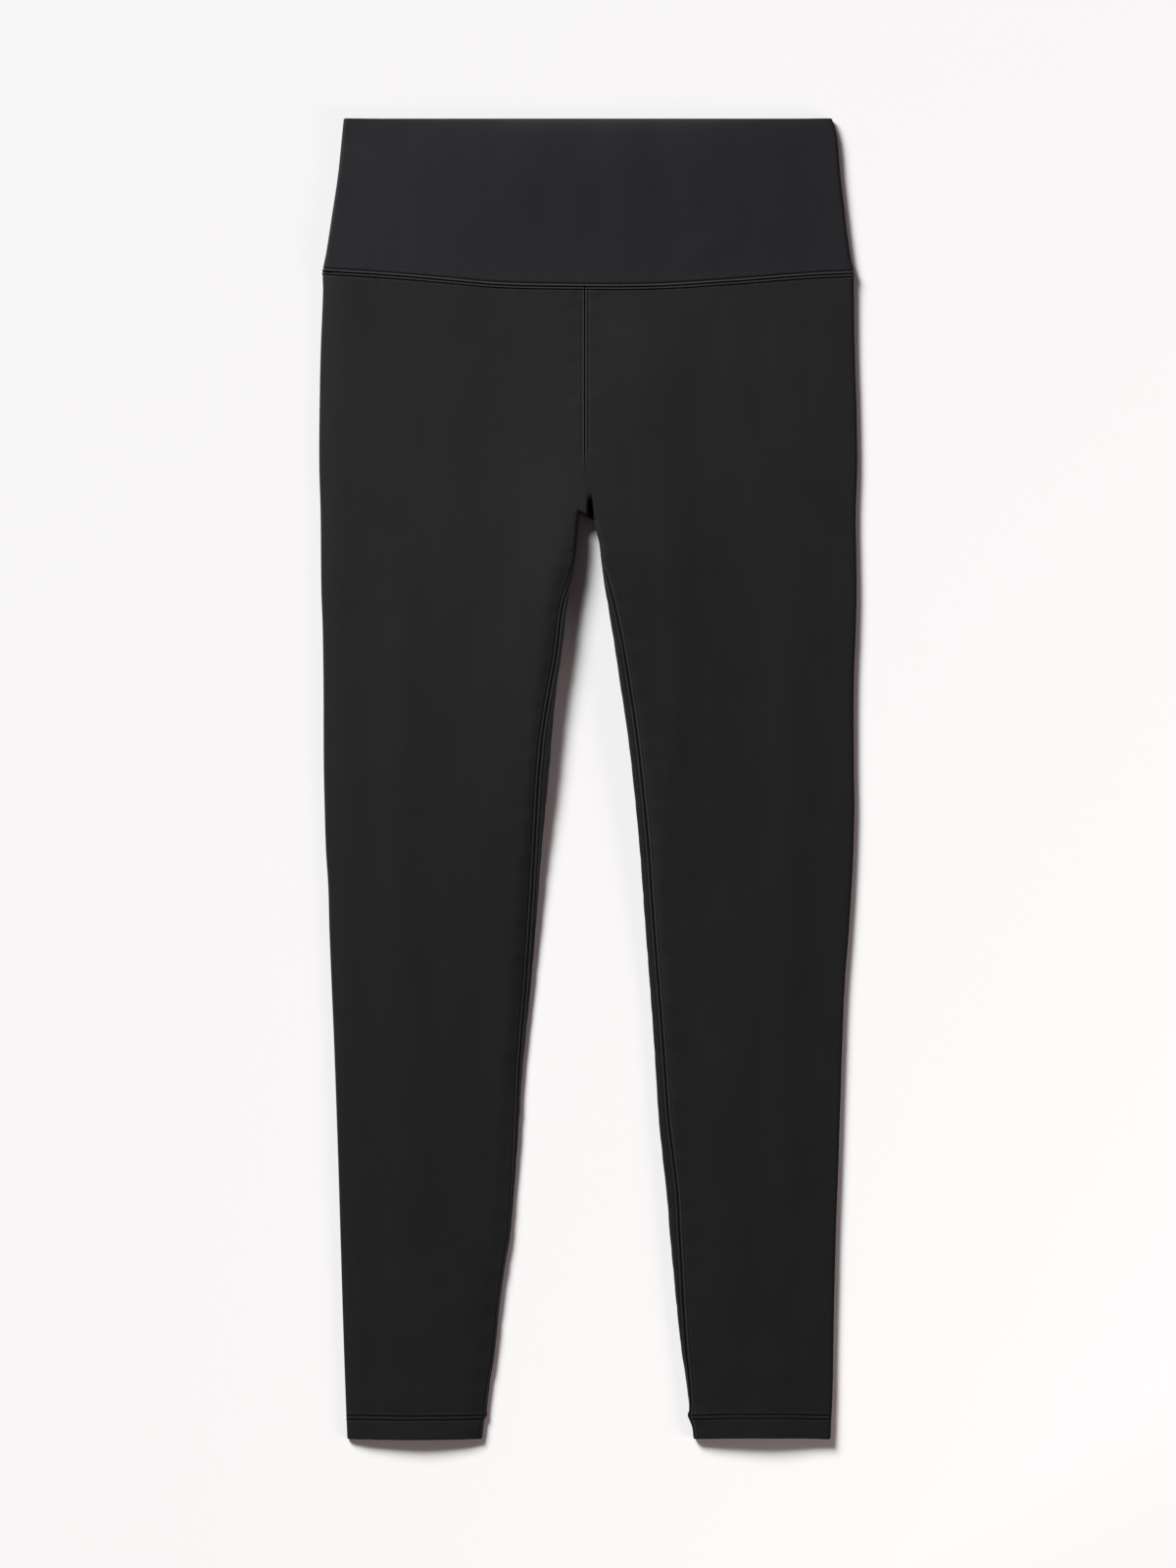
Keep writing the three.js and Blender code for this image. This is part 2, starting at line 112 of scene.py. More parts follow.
class Side(Enum):
    """The two sides of the wearer."""

    LEFT = SideFacts(
        key="left", sign=1.0, crotch_down=278.1, crotch_out=3.0, bow=0.9,
        lift_reach=100.0, lift_spread=0.0, droop=1.6, droop_reach=14.0, droop_down=370.0,
        shoulder=0.0, hem_rise=0.7, hem_bow=0.9,
    )
    RIGHT = SideFacts(
        key="right", sign=-1.0, crotch_down=272.7, crotch_out=7.1, bow=0.0,
        lift_reach=62.0, lift_spread=0.45, droop=2.6, droop_reach=15.0, droop_down=280.0,
        shoulder=1.6, hem_rise=0.0, hem_bow=-0.4,
    )


@dataclass(frozen=True)
class Table:
    """A short table of sizes with named columns, read as smooth curves.

    The first column is the place along the piece that the others depend on.
    """

    columns: tuple[str, ...]
    rows: tuple[tuple[float, ...], ...]

    def read(self, column: str, place: Array | float) -> Array:
        """Reads one column at any place.

        Args:
            column: Name of the column.
            place: Where to read it, in the units of the first column.

        Returns:
            The smooth value at each place.
        """
        data = np.array(self.rows, float)
        keys, values = data[:, 0], data[:, self.columns.index(column)]
        index = np.arange(len(keys))
        before, after = np.maximum(index - 1, 0), np.minimum(index + 1, len(keys) - 1)
        slopes = (values[after] - values[before]) / (keys[after] - keys[before])
        place = np.asarray(place, float)
        i = np.clip(np.searchsorted(keys, place) - 1, 0, len(keys) - 2)
        span = keys[i + 1] - keys[i]
        t = np.clip((place - keys[i]) / span, 0, 1)
        rise = values[i + 1] - values[i]
        start, end = slopes[i] * span, slopes[i + 1] * span
        return values[i] + t * (start + t * (3 * rise - 2 * start - end + t * (start + end - 2 * rise)))


OUTER_EDGE = Table(
    ("down", "right", "left"),
    (
        (0, 169.6, 167.4), (12, 170.8, 170.7), (40, 173.7, 173.3), (67, 177.7, 176.4),
        (94, 181.8, 179.9), (106, 184.1, 182.4), (120, 184.0, 182.5), (160, 185.6, 183.1),
        (200, 186.4, 184.3), (240, 186.6, 184.8), (272, 185.7, 183.8), (325, 185.2, 184.4),
        (350, 184.3, 183.9), (390, 183.7, 182.5), (445, 183.5, 182.5), (475, 182.9, 182.9),
        (505, 182.0, 182.2), (530, 180.4, 181.0), (560, 179.6, 179.1), (600, 178.0, 176.1),
        (640, 176.3, 174.5), (720, 173.5, 171.9), (770, 172.0, 170.1), (830, 170.2, 168.7),
        (880, 168.5, 167.8), (911.6, 167.2, 166.3),
    ),
)
INNER_EDGE = Table(
    ("down", "right", "left"),
    (
        (272.7, 7.1, 2.0), (278.1, 7.5, 3.0), (284, 8.0, 4.5), (297, 9.1, 7.1), (310, 10.8, 8.5),
        (324, 13.3, 10.5), (338, 15.4, 12.9), (365, 18.5, 17.3), (392, 22.4, 21.3),
        (419, 25.3, 25.4), (446, 27.4, 28.8), (500, 32.5, 34.2), (554, 36.6, 38.2),
        (608, 41.3, 42.3), (636, 44.3, 44.3), (663, 46.7, 46.0), (690, 48.4, 47.7),
        (717, 50.4, 50.4), (744, 52.5, 53.4), (771, 54.8, 55.5), (798, 59.2, 58.1),
        (825, 62.6, 60.6), (852, 65.3, 63.7), (872, 68.5, 66.8), (886, 70.3, 68.4),
        (892, 70.8, 68.6), (895, 70.5, 67.8), (898, 72.3, 68.9), (904, 73.2, 71.0),
        (911.6, 74.2, 71.8),
    ),
)
INSEAM = Table(
    ("down", "right", "left"),
    (
        (272.7, 0.0, 0.0), (278.1, -3.0, 0.0), (284, -5.0, -3.0), (291, -4.8, -4.8),
        (300, -2.4, -2.6), (310, 0.2, 2.6), (322, 2.0, 5.2), (338, 4.7, 6.8), (380, 5.0, 8.2),
        (440, 8.0, 8.0), (509, 6.0, 7.9), (570, 5.0, 7.6), (625, 3.9, 7.8), (681, 2.6, 8.2),
        (740, 1.0, 9.0), (820, 0.5, 6.2), (890, 0.5, 2.7), (911.6, 0.5, 2.2),
    ),
)
HEIGHT = Table(
    ("down", "inner", "outer", "crown", "lift"),
    (
        (0, 5.2, 5.0, 0.5, 0), (106, 5.1, 4.8, 0.6, 0), (150, 5.1, 4.4, 0.6, 0.6),
        (215, 5.3, 4.3, 0.6, 2.8), (250, 5.6, 4.3, 0.6, 4.2), (280, 6.0, 4.4, 0.6, 5.4),
        (310, 6.1, 4.5, 0.5, 6.3), (360, 5.8, 4.5, 0.6, 6.1), (450, 5.2, 4.3, 0.8, 4.7),
        (540, 4.8, 4.2, 0.9, 1.8), (620, 4.5, 4.2, 0.9, 0.5), (800, 4.4, 4.2, 0.9, 0.1),
        (893, 4.0, 4.1, 1.2, 0.0), (911.6, 4.0, 4.1, 1.6, 0.0),
    ),
)
WAIST_SEAM = Table(
    ("across", "down"),
    (
        (-184, 106.0), (-135, 109.2), (-100, 112.3), (-66, 115.4), (-31, 116.5), (41, 116.7),
        (96, 113.5), (151, 109.1), (183, 107.5),
    ),
)


@dataclass(frozen=True)
class SeamProfile:
    """Height of the cloth beside a stitched seam, against the distance from the seam's middle."""

    distances: tuple[float, ...]
    heights: tuple[float, ...]

    def height(self, distance: Array) -> Array:
        """Returns the height at each distance, the last height being kept beyond the table."""
        return np.interp(distance, self.distances, self.heights)


WAIST_PROFILE = SeamProfile(
    (0.0, 0.25, 0.6, 1.05, 1.5, 2.1, 2.7, 3.5, 5.5),
    (-0.60, -0.42, 0.10, 0.30, 0.10, -0.50, -0.05, 0.08, 0.0),
)
FLAT_PROFILE = SeamProfile(
    (0.0, 0.3, 0.7, 1.2, 1.75, 2.3, 2.9, 3.6, 5.0),
    (-0.40, -0.25, 0.08, 0.20, 0.05, -0.25, -0.02, 0.06, 0.0),
)


@dataclass(frozen=True)
class Crease:
    """One soft crease of the front: a ridge, or a trough where its depth is below 0."""

    start: tuple[float, float]
    end: tuple[float, float]
    width: float
    depth: float

    def height(self, x: Array, y: Array) -> Array:
        """Works out the crease's height.

        Args:
            x: Places across the garment.
            y: Places along it.

        Returns:
            The height at each place, tapered to nothing at both ends.
        """
        along = np.array(self.end, float) - np.array(self.start, float)
        size = float(np.hypot(*along))
        unit = along / size
        dx, dy = x - self.start[0], y - self.start[1]
        t = np.clip((dx * unit[0] + dy * unit[1]) / size, 0, 1)
        off = np.hypot(dx - t * along[0], dy - t * along[1]) / self.width
        return self.depth * np.sin(math.pi * t) ** 1.2 * np.exp(-off * off)


CREASES = (
    Crease((-200, 342), (-125, 358), 30.0, 0.6),
    Crease((-172, 446), (-142, 424), 5.0, -0.45),
    Crease((-168, 438), (-140, 416), 5.5, 0.30),
    Crease((64, 350), (94, 380), 10.0, 0.45),
    Crease((122, 424), (130, 360), 18.0, 0.6),
    Crease((40, 335), (50, 230), 24.0, 1.0),
    Crease((-130, 175), (-128, -90), 20.0, 1.4),
    Crease((-132, -10), (-138, -340), 18.0, 0.9),
    Crease((-50, 215), (-58, 60), 12.0, -0.45),
    Crease((-84, 150), (-76, -60), 14.0, 0.35),
    Crease((-92, -180), (-98, -420), 12.0, -0.35),
    Crease((140, 320), (142, 10), 17.0, 1.0),
    Crease((140, 130), (138, -230), 17.0, 0.85),
    Crease((60, 240), (65, 50), 11.0, 0.5),
    Crease((65, 100), (54, -30), 8.0, 0.6),
    Crease((54, -5), (49, -100), 7.0, 0.55),
    Crease((49, -80), (61, -220), 7.0, 0.4),
    Crease((112, -180), (120, -400), 16.0, -0.35),
    Crease((78, -408), (160, -408), 14.0, 0.7),
    Crease((-162, -428), (-108, -430), 12.0, 0.5),
)


def smooth(share: Array | float) -> Array:
    """Returns 0 below 0, 1 above 1, and a smooth step between."""
    share = np.clip(share, 0, 1)
    return share * share * (3 - 2 * share)


def ripple(place: Array, length: float, phase: float) -> Array:
    """Returns an uneven wave from -1 to 1, of about the length given and the same on every run."""
    turn = 2 * math.pi * place / length + phase
    return 0.5 * np.sin(turn) + 0.3 * np.sin(1.63 * turn + 1.1) + 0.2 * np.sin(2.71 * turn + 2.3)


def fade(place: Array, start: float, length: float) -> Array:
    """Returns 1 before the start, 0 from a length past it, and a smooth fall between."""
    return 1 - smooth((place - start) / length)


def rounded(share: Array, depth: float) -> Array:
    """Returns how far an edge is rounded in, from 0 at a share of 0 to the depth at 1."""
    share = np.clip(share, 0, 1)
    return depth * (1 - np.sqrt(np.clip(1 - share * share, 0, 1)))


def pick(stretches: list[Array], *values: Array | float) -> Array:
    """Returns each place's value from the first stretch that it lies in, or else the last value."""
    full = [np.broadcast_to(v, stretches[0].shape) for v in values]
    return np.select(stretches, full[:-1], full[-1])


@dataclass(frozen=True)
class Pucker:
    """Small waves that stitching draws into the cloth beside it.

    Attributes:
        depth: Their height, as a share of the piece's own pucker.
        length: About how long a wave is.
        middle: How far from the stitching they are fullest.
        spread: How widely they fade from there, as a square.
    """

    depth: float
    length: float
    middle: float
    spread: float

    def height(self, along: Array, away: Array, phase: float) -> Array:
        """Returns the waves' height at places along the stitching and at distances away from it."""
        waves = self.depth * ripple(along, self.length, phase)
        return waves * np.exp(-((away - self.middle) ** 2) / self.spread)


EDGE_PUCKER = Pucker(depth=1.6, length=22.0, middle=6.0, spread=40.0)
WAIST_PUCKER = Pucker(depth=1.0, length=12.5, middle=5.0, spread=18.0)
HEM_PUCKER = Pucker(depth=0.8, length=9.0, middle=19.0, spread=14.0)
BAND_PUCKER = Pucker(depth=1.0, length=11.0, middle=5.0, spread=16.0)


def waist_seam(x: Array, on_front: Array) -> Array:
    """Finds how far down the waist seam lies.

    Args:
        x: Places across the garment.
        on_front: Whether each place is on the front or the underside.

    Returns:
        The distance down at each place.
    """
    share = np.clip(np.abs(x) / HIP_HALF, 0, 1)
    back = BACK_SEAM_SIDE - BACK_RISE * (1 - share * share)
    return np.where(on_front, WAIST_SEAM.read("down", x), back)


@dataclass
class Points:
    """Places on a piece's base form with their outward normals, before any relief."""

    out: Array
    z: Array
    normal_out: Array
    normal_z: Array


@dataclass
class Section:
    """Sections of a flattened tube, one for each distance down; every field may be an array."""

    inner: Array
    outer: Array
    inner_height: Array
    outer_height: Array
    crown: Array
    lift: Array
    lift_from: Array
    droop: Array
    facts: SideFacts
    start: Array = field(default_factory=lambda: np.zeros(1))
    end: Array = field(default_factory=lambda: np.zeros(1))

    @property
    def inner_radius(self) -> Array:
        """Radius of the inner fold."""
        return self.inner_height / 2

    @property
    def outer_radius(self) -> Array:
        """Radius of the outer fold."""
        return self.outer_height / 2

    @property
    def quarter(self) -> Array:
        """Run from the middle of the inner fold to where the front begins."""
        return math.pi / 2 * self.inner_radius

    @property
    def width(self) -> Array:
        """Width of the flat stretch between the folds."""
        return self.outer - self.outer_radius - self.inner - self.inner_radius

    @property
    def fold(self) -> Array:
        """Run round the outer fold."""
        return math.pi * self.outer_radius

    @property
    def loop(self) -> Array:
        """Run round the whole section."""
        return 2 * self.quarter + 2 * self.width + self.fold

    def bend(self, out: Array, up: Array | float) -> Array:
        """Works out how far the cloth is raised beside the inner edge.

        Args:
            out: Distances out from X = 0.
            up: 1 on the front, 0 on the underside, and between them round the inner fold.

        Returns:
            The lift less the front's droop.
        """
        ahead = out - self.lift_from
        droop = self.droop * up * fade(ahead, 0, self.facts.droop_reach)
        near, far = smooth(1 - ahead / self.facts.lift_reach), smooth(1 - ahead / LIFT_FAR)
        return self.lift * (near + self.facts.lift_spread * (far - near)) - droop

    def points(self, run: Array) -> Points:
        """Finds the section's points.

        Args:
            run: Distances round the section, from the middle of the inner fold over the front.

        Returns:
            The points and normals, with the inner fold lifted off the surface.
        """
        ri, ro, width = self.inner_radius, self.outer_radius, self.width
        inner_centre, outer_centre = self.inner + ri, self.outer - ro
        s = np.mod(run, self.loop)
        a = s / ri
        s1 = s - self.quarter
        front_out = inner_centre + s1
        span = outer_centre - self.lift_from
        share = np.clip((front_out - self.lift_from) / span, 0, 1)
        rise = self.outer_height - self.inner_height
        slope = (rise + self.crown * math.pi * np.sin(2 * math.pi * share)) / span
        slope = slope + (self.bend(front_out + 0.2, 1) - self.bend(front_out - 0.2, 1)) / 0.4
        size = np.hypot(slope, 1)
        s2 = s1 - width
        b = s2 / ro
        s3 = s2 - self.fold
        c = (s3 - width) / ri
        top = self.inner_height + rise * share + self.crown * np.sin(math.pi * share) ** 2
        places = [s1 < 0, s2 < 0, s3 < 0, s3 < width]
        out = pick(
            places, inner_centre - ri * np.cos(a), front_out, outer_centre + ro * np.sin(b),
            outer_centre - s3, inner_centre - ri * np.sin(c),
        )
        z = pick(places, ri * (1 + np.sin(a)), top, ro * (1 + np.cos(b)), 0, ri * (1 - np.cos(c)))
        normal_out = pick(places, -np.cos(a), -slope / size, np.sin(b), 0, -np.sin(c))
        normal_z = pick(places, np.sin(a), 1 / size, np.cos(b), -1, -np.cos(c))
        up = pick(places, np.sin(a), 1, 0, 0, 0)
        beside = np.clip(1 - (self.outer - out) / SHOULDER_REACH, 0, 1) ** 2
        shoulder = self.facts.shoulder * beside * pick(places, 0, 1, (1 + np.cos(b)) / 2, 0, 0)
        return Points(out, z + self.bend(out, up) - shoulder, normal_out, normal_z)


def relief_above_floor(relief: Array, normal_z: Array) -> Array:
    """Returns the relief, with what is raised faded out where the cloth turns under."""
    return np.where(relief > 0, relief * np.clip(normal_z * 2 + 0.2, 0, 1), relief)


def creased(x: Array, y: Array, normal_z: Array) -> Array:
    """Returns the summed height of all creases, on the parts that face up."""
    return sum(c.height(x, y) for c in CREASES) * smooth(normal_z)


def mesh_object(name: str, points: Array, faces: Array) -> bpy.types.Object:
    """Makes a smooth-shaded mesh object.

    Args:
        name: The piece's name.
        points: Corners in millimetres, one row each.
        faces: Corner numbers of each four-sided face.

    Returns:
        The new object, linked to the scene, in metres.
    """
    mesh = bpy.data.meshes.new(name)
    mesh.from_pydata((points * MM).tolist(), [], faces.tolist())
    mesh.polygons.foreach_set("use_smooth", np.ones(len(mesh.polygons), bool))
    mesh.update()
    piece = bpy.data.objects.new(name, mesh)
    bpy.context.scene.collection.objects.link(piece)
    return piece


def shell_faces(rows: int, columns: int, joined: bool, mirrored: bool) -> Array:
    """Works out the faces of a closed wall between an outer and an inner grid.

    Args:
        rows: Rows of points down the piece.
        columns: Points round the piece.
        joined: Whether the last column meets the first.
        mirrored: Whether the grid runs the other way round.

    Returns:
        Four corner numbers a face, with every face pointing out of the cloth.
    """
    spans = columns if joined else columns - 1
    number = np.arange(rows * columns).reshape(rows, columns)
    if joined:
        number = np.hstack([number, number[:, :1]])
    inner = number + rows * columns
    blocks = [
        (number[:-1, :spans], number[1:, :spans], number[1:, 1 : spans + 1], number[:-1, 1 : spans + 1]),
        (inner[:-1, :spans], inner[:-1, 1 : spans + 1], inner[1:, 1 : spans + 1], inner[1:, :spans]),
        (number[0, :spans], number[0, 1 : spans + 1], inner[0, 1 : spans + 1], inner[0, :spans]),
        (number[-1, :spans], inner[-1, :spans], inner[-1, 1 : spans + 1], number[-1, 1 : spans + 1]),
    ]
    if not joined:
        blocks += [
            (number[:-1, 0], inner[:-1, 0], inner[1:, 0], number[1:, 0]),
            (number[:-1, -1], number[1:, -1], inner[1:, -1], inner[:-1, -1]),
        ]
    faces = np.vstack([np.stack([c.ravel() for c in block], axis=1) for block in blocks])
    return faces[:, ::-1] if mirrored else faces


def cloth_shell(
    name: str, outer: Array, inner: Array, joined: bool = False, mirrored: bool = False,
) -> bpy.types.Object:
    """Makes a cloth piece: a closed wall between grids of points on its outer and inner faces."""
    points = np.vstack([outer.reshape(-1, 3), inner.reshape(-1, 3)])
    return mesh_object(name, points, shell_faces(*outer.shape[:2], joined, mirrored))


SEAM_STEPS = (0.0, 0.2, 0.45, 0.75, 1.05, 1.35, 1.65, 1.95, 2.25, 2.55, 2.9, 3.4, 4.1, 5.0, 6.2)
HEM_STEPS = (
    20, 19.2, 18.6, 18, 17.5, 17.1, 16.8, 16.5, 16.2, 15.8, 15.3, 14.8, 14.3, 13.9, 13.6, 13.3, 13,
    12.6, 12, 11, 9, 7, 5, 3, 1.6,
)


@dataclass
class LegPanel:
    """One leg's panel, with no outer seam.

    It runs from the centre front round the outer fold to the centre back, and below the crotch on
    round the inner fold to the inseam on the front.
    """

    side: Side
    row_step: float = 3.6
    front_columns: int = 42
    back_columns: int = 26
    fold_columns: int = 15
    hem_rows: tuple[float, float] = (13.5, 16.3)
    groove_depth: float = 0.28
    groove_half: float = 0.55
    hem_wander: float = 0.15
    hem_full: float = 0.12
    hem_ridge: float = 0.14
    inseam_recess: float = 0.25
    recess_half: float = 2.2
    droop_kept: float = 0.35
    droop_fade: tuple[float, float] = (580.0, 800.0)
    hem_rise_from: float = 850.0
    edge_round: float = 0.6
    pucker: float = 0.16

    @property
    def facts(self) -> SideFacts:
        """What sets this leg apart from the other."""
        return self.side.value

    @property
    def name(self) -> str:
        """The solid that this panel stands for."""
        return f"leg_{self.facts.key}"

    def centre_edge(self, down: Array, tip: float, centre: float) -> Array:
        """Finds the panel's edge beside a centre seam and the gusset.

        Args:
            down: Distances down.
            tip: Where the gusset's tip lies on that seam.
            centre: The seam's own X.

        Returns:
            How far out the edge lies at each distance down.
        """
        seam = self.facts.sign * centre + SEAM_GAP / 2
        corner = self.facts.crotch_out + SEAM_GAP / 2
        share = np.clip((down - tip) / (self.facts.crotch_down - tip), 0, 1)
        return seam + (corner - seam) * share * (1 + self.facts.bow * (1 - share))

    def section(self, down: Array) -> Section:
        """Works out the sections at distances down, with the runs where the panel starts and ends.

        Args:
            down: Distances below the waistband's top edge.

        Returns:
            One section for each distance.
        """
        key = self.facts.key
        front = self.centre_edge(down, GUSSET_FRONT_TIP, CENTRE_FRONT)
        back = self.centre_edge(down, GUSSET_BACK_TIP, CENTRE_BACK)
        inner = INNER_EDGE.read(key, down)
        below = down >= self.facts.crotch_down
        rise = self.facts.hem_rise * smooth((down - self.hem_rise_from) / 55)
        section = Section(
            inner=inner,
            outer=OUTER_EDGE.read(key, down),
            inner_height=HEIGHT.read("inner", down) + rise,
            outer_height=HEIGHT.read("outer", down) + 0.7 * rise,
            crown=HEIGHT.read("crown", down),
            lift=HEIGHT.read("lift", down),
            lift_from=np.where(below, inner + SEAM_GAP / 2, front),
            droop=self.droop(down),
            facts=self.facts,
        )
        radius = section.inner_radius
        turn = np.arcsin(np.clip((down - self.facts.crotch_down + radius) / radius, 0, 1))
        section.inner = np.where(below, section.inner, front - radius + radius * np.sin(turn))
        half = radius * (math.pi / 2 - turn) + SEAM_GAP / 2 * np.sin(turn)
        seam = INSEAM.read(key, down)
        section.start = np.where(below, seam + SEAM_GAP / 2, half)
        section.end = section.loop + np.where(below, seam - SEAM_GAP / 2, front - back - half)
        return section

    def droop(self, down: Array) -> Array:
        """Works out how far the front droops towards the inner fold.

        Args:
            down: Distances down.

        Returns:
            The droop, less and less down the leg.
        """
        high, low = self.droop_fade
        fade = 1 - (1 - self.droop_kept) * smooth((down - high) / (low - high))
        return self.facts.droop * smooth((down - self.facts.droop_down) / 50) * fade

    def stitched(self, down: Array) -> Array:
        """Returns 1 where the panel's edge is stitched: above the gusset's tip and below the crotch."""
        return smooth(np.maximum(GUSSET_FRONT_TIP - 5 - down, down - self.facts.crotch_down) / 8)

    def surface(self, down: Array, run: Array, plain: bool = False) -> tuple[Array, Array]:
        """Finds points of the panel's outer face.

        Args:
            down: Distances down, of the same shape as run or one column of it.
            run: Distances round the section.
            plain: Whether to leave out the relief.

        Returns:
            The points and the outward normals, each with X, Y and Z in the last place.
        """
        section = self.section(down)
        points = section.points(run)
        sign = self.facts.sign
        x = sign * points.out
        shift = waist_seam(x, points.normal_z > 0) - BACK_SEAM_SIDE
        fade = np.clip(1 - (down - BACK_SEAM_SIDE) / SEAM_FADE, 0, 1)
        y = LENGTH / 2 - down - shift * fade + self.hem_arch(down, points)
        from_start, from_end = run - section.start, section.end - run
        from_seam = np.minimum(from_start, from_end) + SEAM_GAP / 2
        from_waist = down - BACK_SEAM_SIDE
        recess = self.inseam_recess * np.exp(-((from_seam / self.recess_half) ** 2))
        relief = FLAT_PROFILE.height(from_seam) * self.stitched(down)
        relief = relief - recess * (down > self.facts.crotch_down)
        relief = relief + WAIST_PROFILE.height(from_waist)
        relief = relief + self.puckers(down, run, from_seam, from_waist) + self.hem(down, run)
        relief = relief_above_floor(relief, points.normal_z) + creased(x, y, points.normal_z)
        relief = relief - self.rounding(down)
        relief = relief * (0.0 if plain else 1.0)
        out = points.out + relief * points.normal_out
        z = points.z + relief * points.normal_z
        normal = np.stack([sign * points.normal_out, 0 * points.normal_out, points.normal_z], axis=-1)
        return np.stack([sign * out, np.broadcast_to(y, out.shape), z], axis=-1), normal

    def hem_arch(self, down: Array, points: Points) -> Array:
        """Works out how far the hem's front bows up along the leg.

        Args:
            down: Distances down.
            points: The places on the panel.

        Returns:
            The bow, which is greatest at the leg's middle.
        """
        outer = OUTER_EDGE.read(self.facts.key, down)
        inner = INNER_EDGE.read(self.facts.key, down)
        share = np.clip((points.out - inner) / (outer - inner), 0, 1)
        low = smooth((down - (LENGTH - 70)) / 60)
        return self.facts.hem_bow * np.sin(math.pi * share) * low * (points.normal_z > 0)

    def hem(self, down: Array, run: Array) -> Array:
        """Works out the relief of the turned hem.

        Args:
            down: Distances down.
            run: Distances round the section.

        Returns:
            Two stitched grooves, with fuller cloth below them and a low ridge above.
        """
        up = LENGTH - down
        wander = self.row_wander(run)
        low, high = self.hem_rows
        grooves = [np.exp(-(((up - at - wander) / self.groove_half) ** 2)) for at in (low, high)]
        full = self.hem_full * smooth((high + 1.5 - up) / 3)
        ridge = self.hem_ridge * np.exp(-(((up - high - 1.1) / 0.55) ** 2))
        return full + ridge - self.groove_depth * sum(grooves)

    def row_wander(self, run: Array) -> Array:
        """Returns how far the hem's stitching wanders up, round the leg."""
        return self.hem_wander * ripple(run, 34.0, 1.0 + self.facts.sign)

    def rounding(self, down: Array) -> Array:
        """Returns how far the folded hem edge is rounded in."""
        return rounded((down - (LENGTH - self.edge_round)) / self.edge_round, 0.9 * self.edge_round)

    def puckers(self, down: Array, run: Array, from_seam: Array, from_waist: Array) -> Array:
        """Works out the small puckers that the stitching draws into the cloth beside it.

        Args:
            down: Distances down.
            run: Distances round the section.
            from_seam: Distances from the nearer edge seam.
            from_waist: Distances from the waist seam.

        Returns:
            The puckers' height at each place.
        """
        phase = 2.0 + self.facts.sign
        edge = EDGE_PUCKER.height(down, from_seam, phase) * self.stitched(down)
        waist = WAIST_PUCKER.height(run, from_waist, phase)
        hem = HEM_PUCKER.height(run, LENGTH - down, phase)
        return self.pucker * (edge + waist + hem)

    def downs(self) -> Array:
        """Chooses the rows of points down the panel.

        Returns:
            Distances down, close together at the seams and the hem.
        """
        radius = float(HEIGHT.read("inner", self.facts.crotch_down)) / 2
        top = BACK_SEAM_SIDE + SEAM_GAP / 2
        corner = self.facts.crotch_down
        turns = corner - radius * (1 - np.sin(np.radians(np.arange(0, 91, 10))))
        hem = LENGTH - np.array(HEM_STEPS)
        upper = np.arange(top + 9, turns[0] - 1, self.row_step)
        crotch = np.arange(corner + 1, corner + 26, 1.6)
        lower = np.arange(crotch[-1] + 2.5, hem[0] - 1, self.row_step)
        edge = LENGTH - self.edge_round * (1 - np.sin(np.radians([0, 22, 45, 68, 88])))
        return np.concatenate([top + np.array(SEAM_STEPS), upper, turns, crotch, lower, hem, edge])

    def runs(self, section: Section) -> Array:
        """Chooses the columns of points round the panel.

        Args:
            section: The sections, one for each row of points.

        Returns:
            Distances round each section, close together beside the seam.
        """
        near = np.array(SEAM_STEPS)
        start = section.start + np.concatenate([near, [7.4, 8.8, 10.4]])
        end = section.end - np.concatenate([near, np.arange(7.2, 17.0, 1.0)])[::-1]
        fold_start = section.quarter + section.width
        turns = np.radians(np.linspace(0, 180, self.fold_columns))
        folds = fold_start + section.outer_radius * turns
        front = np.linspace(0, 1, self.front_columns + 2)[1:-1]
        back = np.linspace(0, 1, self.back_columns + 2)[1:-1]
        fronts = start[:, -1:] + (fold_start - start[:, -1:]) * front
        backs = folds[:, -1:] + (end[:, :1] - folds[:, -1:]) * back
        return np.hstack([start, fronts, folds, backs, end])

    def build(self) -> bpy.types.Object:
        """Builds the panel's shell.

        Returns:
            The cloth object.
        """
        down = self.downs()[:, None]
        runs = self.runs(self.section(down))
        outer, normal = self.surface(down, runs)
        base, _ = self.surface(down, runs, plain=True)
        step = smooth((down - (LENGTH - HEM_DEPTH - HEM_STEP)) / HEM_STEP)
        wall = KNIT + (HEM_WALL - KNIT) * step - 2 * self.rounding(down)
        crease = creased(base[..., 0], base[..., 1], normal[..., 2])
        inner = base + normal * (crease - self.rounding(down) - wall)[..., None]
        return cloth_shell(f"{self.name}_cloth", outer, inner, mirrored=self.facts.sign < 0)

    def flat_size(self) -> tuple[float, float, float]:
        """Works out the flat cut of what shows.

        Returns:
            The width, the length and the area, in metres and square metres.
        """
        down = np.linspace(BACK_SEAM_SIDE, LENGTH, 400)
        section = self.section(down)
        width = section.end - section.start
        area = float(np.sum((width[1:] + width[:-1]) / 2 * np.diff(down)))
        return float(width.max()) * MM, (LENGTH - BACK_SEAM_SIDE) * MM, area * MM * MM

    def dress(self, cloth: bpy.types.Object, knit: bpy.types.Material) -> None:
        """Gives the panel its knit, puts it under the root and hides the solid it stands for.

        Args:
            cloth: The panel's object.
            knit: The knit's material.
        """
        cloth.data.materials.append(knit)
        width, length, area = self.flat_size()
        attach(cloth, "root")
        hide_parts(self.name)


